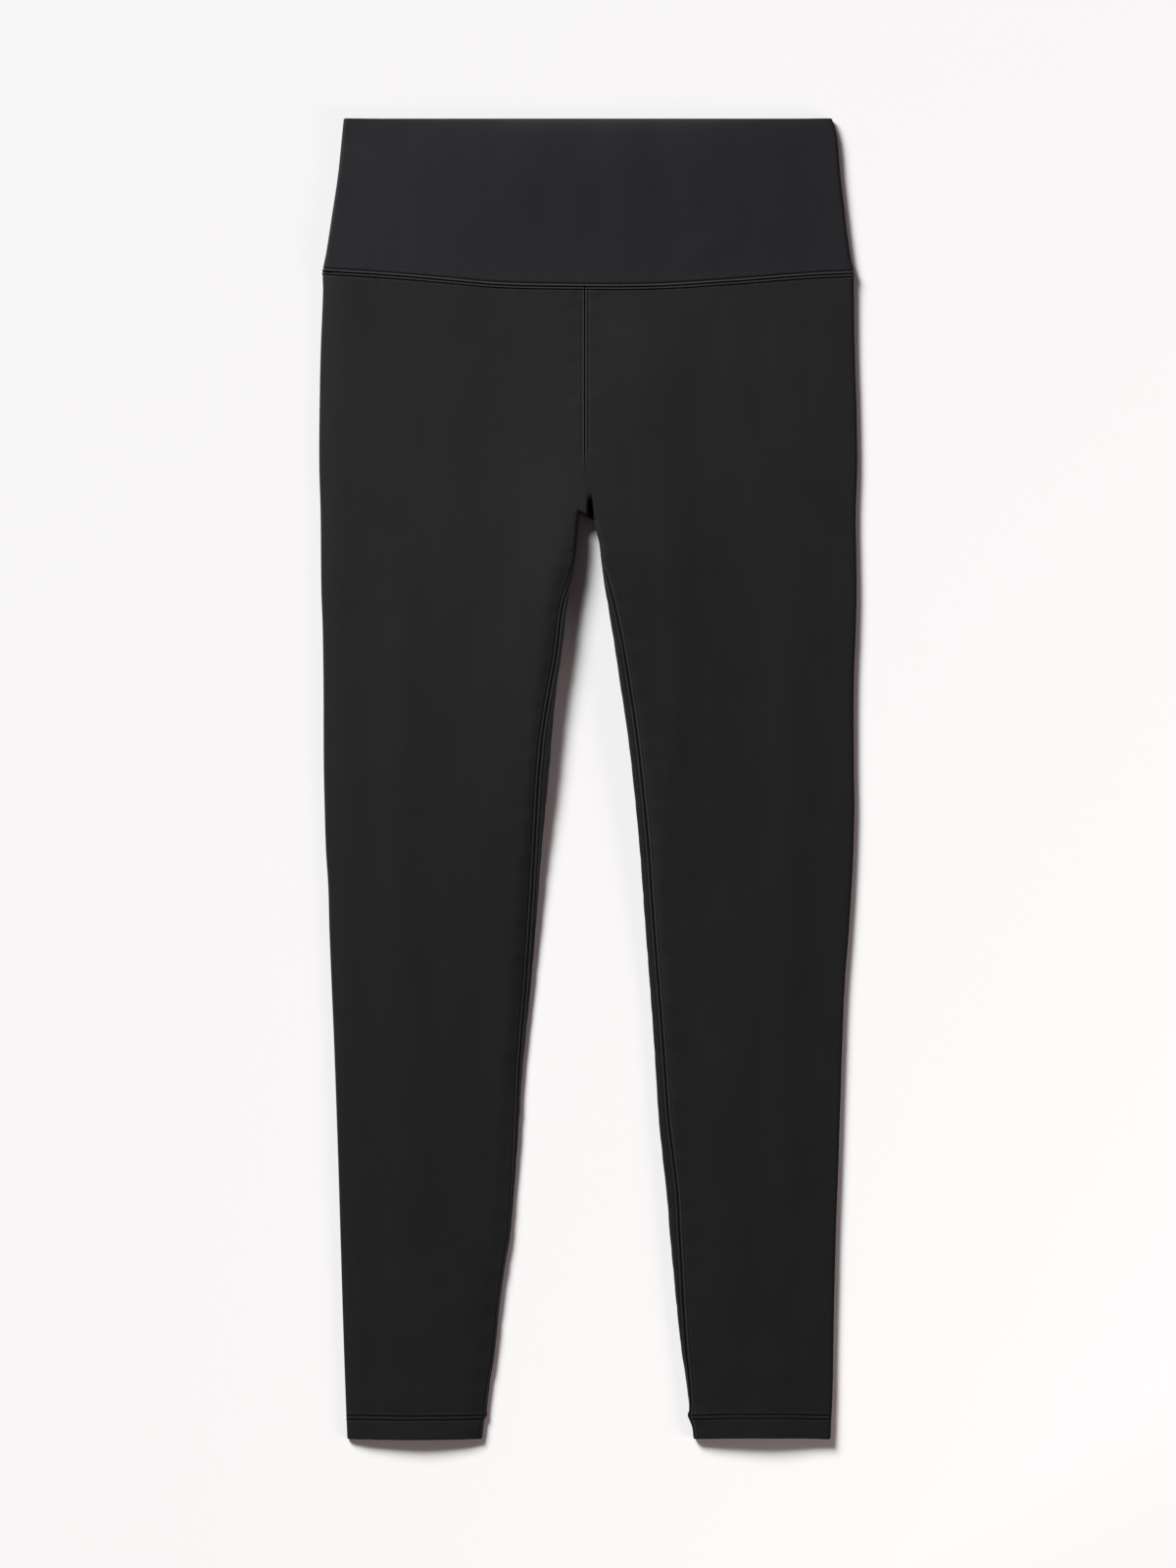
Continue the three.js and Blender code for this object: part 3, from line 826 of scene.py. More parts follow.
@dataclass
class Waistband:
    """The waistband: a double layer folded at its top edge, as one flattened tube."""

    name: str = "waistband"
    front_columns: int = 120
    back_columns: int = 70
    fold_columns: int = 15
    row_step: float = 3.4
    top_dip: float = 1.3
    swell_near: float = 1.9
    near_rise: float = 3.2
    near_fall: float = 60.0
    swell_far: float = 1.1
    far_rise: float = 13.0
    swell_middle: float = 14.0
    near_kept: float = 0.35
    near_sides: tuple[float, float] = (55.0, 55.0)
    far_sides: tuple[float, float] = (40.0, 140.0)
    swell_down: tuple[float, float] = (22.0, 80.0)
    swell_sides: tuple[float, float] = (120.0, 50.0)
    edge_round: float = 1.0
    pucker: float = 0.14
    pucker_phase: float = 0.4

    @property
    def bottom(self) -> float:
        """How far down the band's lower edge lies at the sides."""
        return BACK_SEAM_SIDE - SEAM_GAP / 2

    def section(self, down: Array) -> tuple[Array, Array, Array, Array, Array]:
        """Works out the band's sections.

        Args:
            down: Distances down.

        Returns:
            The X of both fold middles, the fold radius, the centre's extra height and the crown.
        """
        radius = HEIGHT.read("outer", down) / 2
        low = radius - OUTER_EDGE.read("right", down)
        high = OUTER_EDGE.read("left", down) - radius
        rise = HEIGHT.read("inner", down) - HEIGHT.read("outer", down)
        return low, high, radius, rise, HEIGHT.read("crown", down)

    def points(self, down: Array, run: Array) -> Points:
        """Finds the band's base form.

        Args:
            down: Distances down.
            run: Distances round the band, from the right fold's top over the front to the left.

        Returns:
            The points and normals.
        """
        low, high, radius, rise, crown = self.section(down)
        width = high - low
        fold = math.pi * radius
        s = np.mod(run, 2 * width + 2 * fold)
        s1, s2, s3 = s - width, s - width - fold, s - 2 * width - fold
        a, b = s1 / radius, s3 / radius
        side = np.abs(2 * np.clip(s / width, 0, 1) - 1)
        top = 2 * radius + rise * (1 - side) + crown * np.sin(math.pi * side) ** 2
        places = [s1 < 0, s2 < 0, s3 < 0]
        x = pick(places, low + s, high + radius * np.sin(a), high - s2, low - radius * np.sin(b))
        z = pick(places, top, radius * (1 + np.cos(a)), 0, radius * (1 - np.cos(b)))
        normal_x = pick(places, 0, np.sin(a), 0, -np.sin(b))
        normal_z = pick(places, 1, np.cos(a), -1, -np.cos(b))
        return Points(x, z, normal_x, normal_z)

    def loop(self, down: Array) -> Array:
        """Returns the run round the band at distances down."""
        low, high, radius, _, _ = self.section(down)
        return 2 * (high - low) + 2 * math.pi * radius

    def surface(self, down: Array, run: Array, plain: bool = False) -> tuple[Array, Array]:
        """Finds points of the band's outer face.

        Args:
            down: Nominal distances down, the lower edge lying at bottom.
            run: Distances round the band.
            plain: Whether to leave out the relief.

        Returns:
            The points and the outward normals.
        """
        points = self.points(down, run)
        front = points.normal_z > 0
        share = down / self.bottom
        shift = (waist_seam(points.out, front) - BACK_SEAM_SIDE) * share
        across = np.clip(np.abs(points.out) / HIP_HALF, 0, 1)
        dip = self.top_dip * np.cos(math.pi / 2 * across) * (1 - share) * front
        y = LENGTH / 2 - down - shift - dip
        from_waist = BACK_SEAM_SIDE - down
        relief = WAIST_PROFILE.height(from_waist)
        relief = relief + self.pucker * BAND_PUCKER.height(run, from_waist, self.pucker_phase)
        relief = relief_above_floor(relief, points.normal_z) + creased(points.out, y, points.normal_z)
        relief = relief + self.swell(points.out, down) * smooth(points.normal_z)
        relief = (relief - self.rounding(down)) * (0.0 if plain else 1.0)
        x = points.out + relief * points.normal_out
        z = points.z + relief * points.normal_z
        normal = np.stack([points.normal_out, 0 * points.normal_out, points.normal_z], axis=-1)
        return np.stack([x, np.broadcast_to(y, x.shape), z], axis=-1), normal

    def swell(self, x: Array, down: Array) -> Array:
        """Works out how far the front of the band swells up.

        Args:
            x: Places across the band.
            down: Distances down.

        Returns:
            The swelling: steep just below the top edge, then fading towards the seam and both sides.
        """
        off = np.abs(x - self.swell_middle)
        near = (1 - np.exp(-down / self.near_rise)) * np.exp(-down / self.near_fall)
        kept = self.near_kept + (1 - self.near_kept) * fade(off, *self.near_sides)
        far = self.swell_far * (1 - np.exp(-down / self.far_rise)) * fade(off, *self.far_sides)
        swell = self.swell_near * near * kept + far
        return swell * fade(down, *self.swell_down) * fade(off, *self.swell_sides)

    def rounding(self, down: Array) -> Array:
        """Returns how far the folded top edge is rounded in."""
        return rounded((self.edge_round - down) / self.edge_round, 0.95 * self.edge_round)

    def build(self) -> bpy.types.Object:
        """Builds the band's shell.

        Returns:
            The cloth object.
        """
        edge = self.edge_round * (1 - np.sin(np.radians([88, 70, 50, 30, 12, 0])))
        upper = np.array([1.8, 2.8, 4.0, 5.4, 7.0])
        middle = np.arange(upper[-1] + 2.2, self.bottom - 8, self.row_step)
        down = np.concatenate([edge, upper, middle, self.bottom - np.array(SEAM_STEPS)[::-1]])[:, None]
        low, high, radius, _, _ = self.section(down)
        width, fold = high - low, math.pi * radius
        front = np.linspace(0, 1, self.front_columns, endpoint=False)
        back = np.linspace(0, 1, self.back_columns, endpoint=False)
        turn = np.linspace(0, 1, self.fold_columns, endpoint=False)
        runs = np.hstack([
            width * front, width + fold * turn, width + fold + width * back,
            2 * width + fold + fold * turn,
        ])
        outer, normal = self.surface(down, runs)
        base, _ = self.surface(down, runs, plain=True)
        crease = creased(base[..., 0], base[..., 1], normal[..., 2])
        crease = crease + self.swell(base[..., 0], down) * smooth(normal[..., 2])
        wall = BAND_WALL - 2 * self.rounding(down)
        inner = base + normal * (crease - self.rounding(down) - wall)[..., None]
        return cloth_shell("waistband_cloth", outer, inner, joined=True)

    def dress(self, cloth: bpy.types.Object, knit: bpy.types.Material) -> None:
        """Gives the band its knit, puts it under the root and hides the solid it stands for.

        Args:
            cloth: The band's object.
            knit: The knit's material.
        """
        cloth.data.materials.append(knit)
        down = np.linspace(0, self.bottom, 60)
        round_it = self.loop(down)
        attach(cloth, "root")
        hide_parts(self.name)


@dataclass
class Gusset:
    """The small leaf folded under the crotch.

    Its half on the wearer's left hangs lower, by "fallen" all through and by "sunk" more on its front.
    """

    name: str = "gusset"
    front_blunt: float = 0.4
    back_blunt: float = 2.0
    across: int = 18
    flat_rows: int = 16
    sunk: float = 3.6
    fallen: float = 2.4
    seam_gap: float = 0.05

    def edge(self, side: Side, down: Array, front: bool) -> Array:
        """Returns the X of one side line of the gusset, a seam's gap inside the leg's edge."""
        tip, centre = (GUSSET_FRONT_TIP, CENTRE_FRONT) if front else (GUSSET_BACK_TIP, CENTRE_BACK)
        return side.value.sign * (LegPanel(side).centre_edge(down, tip, centre) - self.seam_gap)

    def row(self, share: float, turn: float) -> tuple[Array, Array]:
        """Works out one row of points across the gusset.

        Args:
            share: From a tip (0) to the crotch fold (1).
            turn: Angle round the crotch fold, 0 on the front and 180 on the underside.

        Returns:
            The points and their normals.
        """
        front = turn <= 90
        c, d = math.cos(math.radians(turn)), math.sin(math.radians(turn))
        radius = float(HEIGHT.read("inner", Side.LEFT.value.crotch_down)) / 2
        tip = GUSSET_FRONT_TIP + self.front_blunt if front else GUSSET_BACK_TIP + self.back_blunt
        ends = []
        for side in (Side.RIGHT, Side.LEFT):
            fold = side.value.crotch_down - radius
            down = tip + (fold - tip) * share if turn in (0, 180) else fold + radius * d
            ends.append((float(self.edge(side, np.array(down), front)), down))
        t = np.linspace(0, 1, self.across)
        x = ends[0][0] + (ends[1][0] - ends[0][0]) * t
        down = ends[0][1] + (ends[1][1] - ends[0][1]) * t
        base = HEIGHT.read("inner", down) if turn == 0 else radius * (1 + c) + 0 * t
        z = (0 * t if turn == 180 else base) + HEIGHT.read("lift", down)
        low = smooth((t - 0.4) / 0.6) * smooth((share - 0.5) / 0.4)
        sink = self.sunk * low * (0.5 + 0.5 * c)
        z = z - sink * max(c, 0.25) - self.fallen * low
        y = LENGTH / 2 - down + sink * d * 0.15
        normal = np.stack([0 * t, 0 * t - d, 0 * t + c], axis=-1)
        return np.stack([x, y, z], axis=-1), normal

    def build(self) -> bpy.types.Object:
        """Builds the gusset's shell.

        Returns:
            The cloth object.
        """
        shares = np.linspace(0, 1, self.flat_rows)
        rows = [self.row(float(s), 0) for s in shares]
        rows += [self.row(1.0, float(a)) for a in np.linspace(10, 170, 17)]
        rows += [self.row(float(s), 180) for s in shares[::-1]]
        outer = np.stack([r[0] for r in rows])
        normal = np.stack([r[1] for r in rows])
        return cloth_shell("gusset_cloth", outer, outer - normal * KNIT)

    def dress(self, cloth: bpy.types.Object, knit: bpy.types.Material) -> None:
        """Gives the gusset its knit, puts it under the root and hides the solid it stands for.

        Args:
            cloth: The gusset's object.
            knit: The knit's material.
        """
        cloth.data.materials.append(knit)
        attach(cloth, "root")
        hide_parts(self.name)


@dataclass(frozen=True)
class Stitch:
    """One stitch of a seam: a short rounded bead of thread."""

    pitch: float
    length: float
    width: float
    height: float
    slant: float
    sink: float = 0.0


class Stitches(Enum):
    """The kinds of stitching on the garment."""

    WAIST = Stitch(pitch=1.5, length=1.15, width=1.15, height=0.40, slant=14.0, sink=0.06)
    FLAT = Stitch(pitch=1.4, length=0.95, width=1.10, height=0.22, slant=24.0, sink=0.04)
    INSEAM = Stitch(pitch=1.4, length=0.95, width=1.40, height=0.18, slant=24.0, sink=0.03)
    HEM = Stitch(pitch=2.4, length=2.2, width=1.6, height=0.22, slant=0.0, sink=0.02)
    UNDER = Stitch(pitch=1.6, length=1.3, width=1.2, height=0.35, slant=18.0, sink=0.25)


def along_line(places: Array, reach: Array, line: Array) -> Array:
    """Reads a line's rows of X, Y and Z at places, against the reach of each row along it."""
    return np.stack([np.interp(places, reach, line[:, k]) for k in range(3)], axis=1)


@dataclass
class Stitching:
    """Rows of stitches of one seam, joined into one mesh."""

    name: str
    sides: int = 6
    look: float = 0.4
    rings: tuple[tuple[float, float], ...] = ((-0.5, 0.4), (-0.27, 1.0), (0.27, 1.0), (0.5, 0.4))
    beads: list[Array] = field(default_factory=list)

    def add(self, points: Array, normals: Array, kind: Stitches, flip: float = 1.0) -> None:
        """Lays one row of stitches along a line on the cloth.

        Args:
            points: The line's points, in millimetres.
            normals: The cloth's outward normal at each point.
            kind: Which stitching it is.
            flip: -1 to slant the stitches the other way.
        """
        stitch: Stitch = kind.value
        steps = np.linalg.norm(np.diff(points, axis=0), axis=1)
        reach = np.concatenate([[0], np.cumsum(steps)])
        places = np.arange(stitch.pitch / 2, reach[-1], stitch.pitch)
        at = along_line(places, reach, points)
        up = along_line(places, reach, normals)
        ahead = along_line(places + self.look, reach, points)
        forward = ahead - along_line(places - self.look, reach, points)
        forward /= np.linalg.norm(forward, axis=1, keepdims=True)
        up -= forward * np.sum(up * forward, axis=1, keepdims=True)
        up /= np.linalg.norm(up, axis=1, keepdims=True)
        across = np.cross(up, forward)
        uneven = ripple(places, 7.3, len(self.beads))[:, None]
        angle = math.radians(stitch.slant * flip)
        along = math.cos(angle) * forward + (math.sin(angle) + 0.06 * uneven) * across
        aside = -math.sin(angle) * forward + math.cos(angle) * across
        size = 1 + 0.08 * ripple(places, 4.1, 0.7 + len(self.beads))[:, None, None, None]
        turns = np.linspace(0, 2 * math.pi, self.sides, endpoint=False)
        ring = np.array(self.rings)
        lengthwise = ring[:, 0][:, None] * stitch.length * np.ones(self.sides)
        breadth = ring[:, 1][:, None] * stitch.width / 2 * np.cos(turns)
        depth = ring[:, 1][:, None] * stitch.height * np.sin(turns)
        bead = (
            lengthwise[None, ..., None] * along[:, None, None]
            + size * breadth[None, ..., None] * aside[:, None, None]
            + size * (depth - stitch.sink)[None, ..., None] * up[:, None, None]
        )
        bead = bead + at[:, None, None]
        bead[..., 2] = np.maximum(bead[..., 2], 0.03)
        self.beads.append(bead.reshape(len(places), -1, 3))

    def build(self) -> bpy.types.Object:
        """Joins the rows into one mesh.

        Returns:
            The thread object.
        """
        beads = np.concatenate(self.beads)
        n, rings = self.sides, len(self.rings)
        around = [
            (r * n + k, r * n + (k + 1) % n, (r + 1) * n + (k + 1) % n, (r + 1) * n + k)
            for r in range(rings - 1) for k in range(n)
        ]
        last = (rings - 1) * n
        caps = [
            (0, 3, 2, 1), (0, 5, 4, 3),
            (last, last + 1, last + 2, last + 3), (last, last + 3, last + 4, last + 5),
        ]
        faces = np.array(around + caps)
        numbers = np.arange(len(beads))[:, None, None] * (n * rings)
        return mesh_object(self.name, beads.reshape(-1, 3), (faces[None] + numbers).reshape(-1, 4))

    def dress(self, thread: bpy.types.Object, finish: bpy.types.Material) -> None:
        """Gives the stitching its thread.

        Args:
            thread: The stitching's object.
            finish: The thread's material.
        """
        thread.data.materials.append(finish)
        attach(thread, "root")


@dataclass
class Sewing:
    """All the stitching, laid on the surfaces of the pieces."""

    band: Waistband
    legs: tuple[LegPanel, LegPanel]
    row_half: float = 1.05
    inseam_half: float = 1.5
    line_step: float = 1.0

    def edge_line(
        self, leg: LegPanel, low: float, high: float, from_start: bool, half: float,
    ) -> tuple[Array, Array]:
        """Finds the stitch line beside a panel's edge.

        Args:
            leg: The panel.
            low: Where the line starts, as a distance down.
            high: Where it ends.
            from_start: Whether it is the panel's first edge or its last.
            half: How far the line lies from the seam's middle.

        Returns:
            The line's points and normals.
        """
        down = np.arange(low, high, self.line_step)
        section = leg.section(down)
        inset = half - SEAM_GAP / 2
        run = section.start + inset if from_start else section.end - inset
        return leg.surface(down, run)

    def waist(self) -> Stitching:
        """Lays the two rows of the waist seam, round the whole garment.

        Returns:
            The seam's stitching.
        """
        work = Stitching("waist_seam_stitching")
        down = np.array([self.band.bottom + SEAM_GAP / 2 - self.row_half])
        run = np.arange(0, float(self.band.loop(down)[0]), self.line_step)
        points, normals = self.band.surface(np.full_like(run, down[0]), run)
        work.add(points, normals, Stitches.WAIST)
        for leg in self.legs:
            top = BACK_SEAM_SIDE + self.row_half
            section = leg.section(np.array([top]))
            run = np.arange(float(section.start[0]) + 0.3, float(section.end[0]), self.line_step)
            points, normals = leg.surface(np.full_like(run, top), run)
            work.add(points, normals, Stitches.WAIST, flip=-leg.facts.sign)
        return work

    def centre(self) -> Stitching:
        """Lays the centre-front and centre-back rows, and the gusset's rows on the underside.

        Returns:
            The seams' stitching.
        """
        work = Stitching("centre_seam_stitching")
        for leg in self.legs:
            sign = leg.facts.sign
            top = BACK_SEAM_SIDE + 3.4
            front = self.edge_line(leg, top, GUSSET_FRONT_TIP - 3, True, self.row_half)
            back = self.edge_line(leg, top, leg.facts.crotch_down - 3, False, self.row_half)
            work.add(*front, Stitches.FLAT, flip=sign)
            work.add(*back, Stitches.UNDER, flip=sign)
        return work

    def inseam(self, leg: LegPanel) -> Stitching:
        """Lays the two rows of one inseam, from the crotch to the hem.

        Args:
            leg: The leg's panel.

        Returns:
            The inseam's stitching.
        """
        work = Stitching(f"inseam_stitching_{leg.facts.key}")
        for from_start in (True, False):
            top = leg.facts.crotch_down + 2
            points, normals = self.edge_line(leg, top, LENGTH - 1, from_start, self.inseam_half)
            work.add(points, normals, Stitches.INSEAM, flip=1.0 if from_start else -1.0)
        return work

    def hem(self, leg: LegPanel) -> Stitching:
        """Lays the two rows of one hem, round the whole leg opening.

        Args:
            leg: The leg's panel.

        Returns:
            The hem's stitching.
        """
        work = Stitching(f"hem_stitching_{leg.facts.key}")
        for up in leg.hem_rows:
            down = LENGTH - up
            section = leg.section(np.array([down]))
            run = np.arange(float(section.start[0]) + 0.4, float(section.end[0]) - 0.4, self.line_step)
            points, normals = leg.surface(np.full_like(run, down) - leg.row_wander(run), run)
            work.add(points, normals, Stitches.HEM)
        return work

    def all(self) -> list[Stitching]:
        """Lays every seam.

        Returns:
            Each seam's stitching, in the order it is sewn.
        """
        seams = [self.centre()]
        for leg in self.legs:
            seams += [self.inseam(leg), self.hem(leg)]
        return [*seams, self.waist()]


class Nodes:
    """A small helper that adds shader nodes to a material."""

    def __init__(self, name: str) -> None:
        """Makes an empty node material with its output and its shader.

        Args:
            name: The material's name.
        """
        self.material = bpy.data.materials.new(name)
        self.material.use_nodes = True
        self.tree = self.material.node_tree
        self.tree.nodes.clear()
        self.shader = self.add("ShaderNodeBsdfPrincipled")
        output = self.add("ShaderNodeOutputMaterial")
        self.link(self.shader.outputs["BSDF"], output.inputs["Surface"])

    def add(self, kind: str, **settings: object) -> bpy.types.Node:
        """Adds a node.

        Args:
            kind: Blender's name of the node type.
            **settings: Properties of the node, or values of its inputs by name.

        Returns:
            The new node.
        """
        node = self.tree.nodes.new(kind)
        for key, value in settings.items():
            socket = key.replace("_", " ").title()
            if key.islower() and socket in node.inputs:
                node.inputs[socket].default_value = value
            else:
                setattr(node, key, value)
        return node

    def link(self, source: bpy.types.NodeSocket, target: bpy.types.NodeSocket) -> None:
        """Joins an output to an input."""
        self.tree.links.new(source, target)

    def math(self, operation: str, first: object, second: object) -> bpy.types.NodeSocket:
        """Adds a sum of two values.

        Args:
            operation: Blender's name of the sum.
            first: An output or a number.
            second: An output or a number.

        Returns:
            The sum's output.
        """
        node = self.add("ShaderNodeMath", operation=operation)
        for socket, value in zip(node.inputs, (first, second)):
            if isinstance(value, (int, float)):
                socket.default_value = value
            else:
                self.link(value, socket)
        return node.outputs[0]

    def stretched(self, scale: tuple[float, float, float]) -> bpy.types.NodeSocket:
        """Adds the object's own coordinates, scaled.

        Args:
            scale: The scale along each axis.

        Returns:
            The scaled coordinates' output.
        """
        place = self.add("ShaderNodeTexCoord")
        mapping = self.add("ShaderNodeMapping")
        mapping.inputs["Scale"].default_value = scale
        self.link(place.outputs["Object"], mapping.inputs["Vector"])
        return mapping.outputs["Vector"]


# The wave texture repeats at this distance when its scale is 1.
WAVE_PERIOD = 2 * math.pi / 20


@dataclass(frozen=True)
class KnitFinish:
    """A fine matt stretch knit: wales along the leg, courses across, and a soft uneven tone."""

    name: str
    dark: tuple[float, float, float, float]
    light: tuple[float, float, float, float]
    wale: float = 0.0007
    course: float = 0.0006
    roughness: float = 0.78
    specular: float = 0.12
    sheen: float = 0.02
    sheen_roughness: float = 0.45
    waver: float = 0.6
    cloud_scale: float = 26.0
    cloud_stretch: tuple[float, float, float] = (1.6, 0.7, 1)
    streak_stretch: tuple[float, float, float] = (34, 2.6, 20)
    stitch_share: float = 0.35
    tone_drop: float = 0.25
    tone_range: tuple[float, float] = (0.45, 1.25)
    bump: float = 0.22
    bump_depth: float = 0.00012
    soft_bump: float = 0.35
    soft_depth: float = 0.0012

    def material(self) -> bpy.types.Material:
        """Makes the knit's material.

        Returns:
            The material.
        """
        nodes = Nodes(self.name)
        shader = nodes.shader
        shader.inputs["Roughness"].default_value = self.roughness
        shader.inputs["Specular IOR Level"].default_value = self.specular
        shader.inputs["Sheen Weight"].default_value = self.sheen
        shader.inputs["Sheen Roughness"].default_value = self.sheen_roughness
        wales = nodes.add("ShaderNodeTexWave", bands_direction="X", scale=WAVE_PERIOD / self.wale)
        courses = nodes.add("ShaderNodeTexWave", bands_direction="Y", scale=WAVE_PERIOD / self.course)
        plain = nodes.stretched((1, 1, 1))
        for wave in (wales, courses):
            wave.inputs["Distortion"].default_value = self.waver
            nodes.link(plain, wave.inputs["Vector"])
        stitch = nodes.math("MULTIPLY", wales.outputs["Fac"], courses.outputs["Fac"])
        cloud = nodes.add("ShaderNodeTexNoise", scale=self.cloud_scale, detail=3.0)
        nodes.link(nodes.stretched(self.cloud_stretch), cloud.inputs["Vector"])
        streak = nodes.add("ShaderNodeTexNoise", scale=1.0, detail=2.0)
        nodes.link(nodes.stretched(self.streak_stretch), streak.inputs["Vector"])
        tone = nodes.math("ADD", cloud.outputs["Fac"], streak.outputs["Fac"])
        grain = nodes.math("MULTIPLY_ADD", stitch, self.stitch_share)
        nodes.link(nodes.math("SUBTRACT", tone, self.tone_drop), grain.node.inputs[2])
        ramp = nodes.add("ShaderNodeMapRange")
        ramp.inputs["From Min"].default_value = self.tone_range[0]
        ramp.inputs["From Max"].default_value = self.tone_range[1]
        nodes.link(grain, ramp.inputs["Value"])
        mix = nodes.add("ShaderNodeMix", data_type="RGBA")
        mix.inputs[6].default_value = self.dark
        mix.inputs[7].default_value = self.light
        nodes.link(ramp.outputs["Result"], mix.inputs["Factor"])
        nodes.link(mix.outputs[2], shader.inputs["Base Color"])
        fine = nodes.add("ShaderNodeBump", strength=self.bump, distance=self.bump_depth)
        nodes.link(stitch, fine.inputs["Height"])
        soft = nodes.add("ShaderNodeBump", strength=self.soft_bump, distance=self.soft_depth)
        nodes.link(cloud.outputs["Fac"], soft.inputs["Height"])
        nodes.link(fine.outputs["Normal"], soft.inputs["Normal"])
        nodes.link(soft.outputs["Normal"], shader.inputs["Normal"])
        return nodes.material


@dataclass(frozen=True)
class ThreadFinish:
    """A soft filament thread with a slight gloss and a twist along it."""

    name: str
    dark: tuple[float, float, float, float]
    light: tuple[float, float, float, float]
    roughness: float = 0.5
    specular: float = 0.25
    sheen: float = 0.03
    twist_scale: float = 900.0
    bump: float = 0.3
    bump_depth: float = 0.0001

    def material(self) -> bpy.types.Material:
        """Makes the thread's material.

        Returns:
            The material.
        """
        nodes = Nodes(self.name)
        shader = nodes.shader
        shader.inputs["Roughness"].default_value = self.roughness
        shader.inputs["Specular IOR Level"].default_value = self.specular
        shader.inputs["Sheen Weight"].default_value = self.sheen
        noise = nodes.add("ShaderNodeTexNoise", scale=self.twist_scale, detail=2.0)
        nodes.link(nodes.stretched((1, 1, 1)), noise.inputs["Vector"])
        mix = nodes.add("ShaderNodeMix", data_type="RGBA")
        mix.inputs[6].default_value = self.dark
        mix.inputs[7].default_value = self.light
        nodes.link(noise.outputs["Fac"], mix.inputs["Factor"])
        nodes.link(mix.outputs[2], shader.inputs["Base Color"])
        bump = nodes.add("ShaderNodeBump", strength=self.bump, distance=self.bump_depth)
        nodes.link(noise.outputs["Fac"], bump.inputs["Height"])
        nodes.link(bump.outputs["Normal"], shader.inputs["Normal"])
        return nodes.material


@dataclass(frozen=True)
class Lamp:
    """A wide soft light that looks at the garment's middle.

    Attributes:
        name: The light's name.
        watts: Its power.
        size: Its width and height, in metres.
        distance: Its distance from the middle, in metres.
        elevation: Its height above the surface, in degrees.
        turn: How far it stands from +Y towards -X, in degrees.
        colour: Its colour.
    """

    name: str
    watts: float
    size: tuple[float, float]
    distance: float
    elevation: float
    turn: float
    colour: tuple[float, float, float] = (1.0, 1.0, 1.0)

    @property
    def place(self) -> tuple[float, float, float]:
        """Where the light hangs."""
        up, round_it = math.radians(self.elevation), math.radians(self.turn)
        flat = self.distance * math.cos(up)
        return -flat * math.sin(round_it), flat * math.cos(round_it), self.distance * math.sin(up)

    def hang(self) -> None:
        """Adds the light to the scene, hidden from the camera itself."""
        lamp = bpy.data.lights.new(self.name, "AREA")
        lamp.energy = self.watts
        lamp.color = self.colour
        lamp.shape = "RECTANGLE"
        lamp.size, lamp.size_y = self.size
        light = bpy.data.objects.new(self.name, lamp)
        bpy.context.scene.collection.objects.link(light)
        light.location = self.place
        light.rotation_euler = (-light.location).to_track_quat("-Z", "Y").to_euler()
        light.visible_camera = False


KEY_LAMP = Lamp("key", 500.0, size=(1.6, 1.1), distance=3.9, elevation=24.5, turn=36.0)
SIDE_LAMP = Lamp(
    "side", 52.0, size=(1.6, 0.8), distance=3.5, elevation=15.0, turn=-115.0, colour=(1.0, 0.84, 0.84),
)


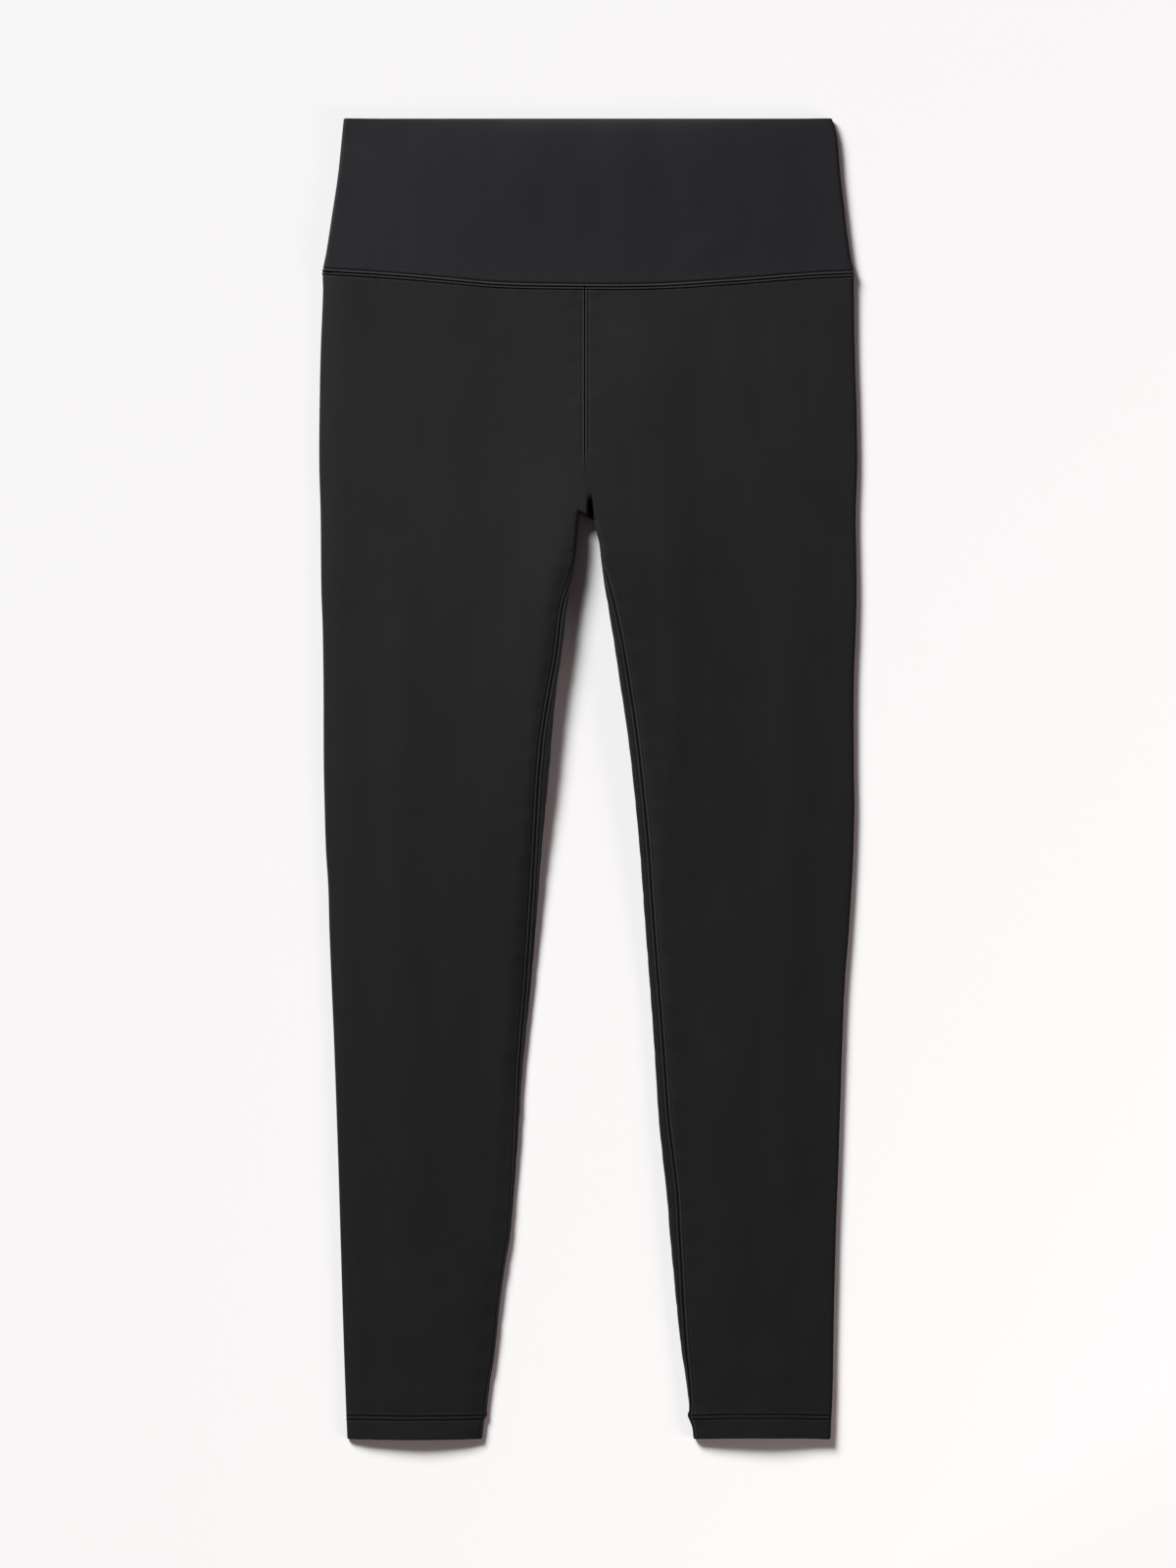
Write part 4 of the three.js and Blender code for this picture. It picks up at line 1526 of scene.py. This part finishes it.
@dataclass
class Studio:
    """The pale floor, the lights and the camera, straight above the garment."""

    frame_height: float = 1.0832
    lens: float = 100.0
    sensor: float = 36.0
    aim: tuple[float, float] = (-0.0010, -0.0037)
    floor_half: float = 8.0
    floor_drop: float = 0.00002
    floor_tone: float = 0.88
    floor_painted_evening: float = 0.0176
    floor_power: float = 2.63
    floor_roughness: float = 0.9
    floor_specular: float = 0.1
    sky: tuple[float, float, float] = (0.076, 0.058, 0.060)

    def build(self) -> None:
        """Builds the whole studio."""
        self.floor()
        KEY_LAMP.hang()
        SIDE_LAMP.hang()
        self.sky_light()
        self.camera()
        bpy.context.scene.view_settings.view_transform = "Standard"

    def floor(self) -> None:
        """Lays the pale floor just under the cloth, its tone painted darker nearer the key lamp to cancel
        the lamp's stronger light there, which also paints the cast shade near the top darker.
        """
        half, low = self.floor_half / MM, -self.floor_drop / MM
        corners = ((-half, -half), (half, -half), (half, half), (-half, half))
        points = np.array([(x, y, low) for x, y in corners])
        floor = mesh_object("floor", points, np.array([(0, 1, 2, 3)]))
        nodes = Nodes("pale_floor")
        place = nodes.add("ShaderNodeTexCoord")
        reach = nodes.add("ShaderNodeVectorMath", operation="DISTANCE")
        reach.inputs[1].default_value = KEY_LAMP.place
        nodes.link(place.outputs["Object"], reach.inputs[0])
        # Painted evening: the floor is darker where the key lamp's light is stronger.
        even = nodes.math("POWER", reach.outputs["Value"], self.floor_power)
        tone = nodes.math("MINIMUM", nodes.math("MULTIPLY", even, self.floor_painted_evening), self.floor_tone)
        grey = nodes.add("ShaderNodeCombineColor")
        for socket in grey.inputs[:3]:
            nodes.link(tone, socket)
        nodes.link(grey.outputs["Color"], nodes.shader.inputs["Base Color"])
        nodes.shader.inputs["Roughness"].default_value = self.floor_roughness
        nodes.shader.inputs["Specular IOR Level"].default_value = self.floor_specular
        floor.data.materials.append(nodes.material)

    def sky_light(self) -> None:
        """Sets the even pale surroundings."""
        world = bpy.data.worlds.new("soft_sky")
        world.use_nodes = True
        world.node_tree.nodes["Background"].inputs["Color"].default_value = (*self.sky, 1)
        bpy.context.scene.world = world

    def camera(self) -> None:
        """Puts the camera straight above, framing what the photograph frames."""
        lens = bpy.data.cameras.new("camera")
        lens.lens = self.lens
        lens.sensor_width = self.sensor
        eye = bpy.data.objects.new("camera", lens)
        eye.location = (*self.aim, self.lens * self.frame_height / self.sensor)
        bpy.context.scene.collection.objects.link(eye)
        bpy.context.scene.camera = eye


LEG_KNIT = KnitFinish("leg_knit", (0.0047, 0.0048, 0.0056, 1), (0.0067, 0.0068, 0.0078, 1))
BAND_KNIT = KnitFinish("band_knit", (0.0053, 0.0049, 0.0059, 1), (0.0073, 0.0068, 0.0081, 1))
WAIST_THREAD = ThreadFinish("waist_thread", (0.006, 0.006, 0.007, 1), (0.014, 0.014, 0.0158, 1))
# The seam thread is darker than the knit: the thread's own dark colour plus painted shade for seams lying
# on shaded flanks.
BODY_THREAD_SHADE = ThreadFinish("body_thread", (0.0024, 0.0024, 0.0029, 1), (0.0064, 0.0064, 0.0075, 1))
# The hem thread is darker than the knit: the thread's own dark colour plus painted shade for the grooves
# it lies in.
HEM_THREAD_SHADE = ThreadFinish("hem_thread", (0.001, 0.001, 0.0012, 1), (0.002, 0.002, 0.0024, 1), 0.8, 0.06)


def main() -> None:
    """Builds the garment and the studio."""
    logging.basicConfig(level=logging.INFO, format="%(name)s: %(message)s")
    Studio().build()
    leg_knit, band_knit = LEG_KNIT.material(), BAND_KNIT.material()
    body_thread = BODY_THREAD_SHADE.material()
    threads = {"waist": WAIST_THREAD.material(), "hem": HEM_THREAD_SHADE.material()}
    band = Waistband()
    legs = (LegPanel(Side.LEFT), LegPanel(Side.RIGHT))
    gusset = Gusset()
    for maker, knit in ((band, band_knit), (legs[0], leg_knit), (legs[1], leg_knit), (gusset, leg_knit)):
        cloth = maker.build()
        maker.dress(cloth, knit)
        LOG.info("%s: %d faces", cloth.name, len(cloth.data.polygons))
    for seam in Sewing(band, legs).all():
        sewn = seam.build()
        seam.dress(sewn, threads.get(seam.name.split("_")[0], body_thread))
        LOG.info("%s: %d faces", sewn.name, len(sewn.data.polygons))


if __name__ == "__main__":
    main()
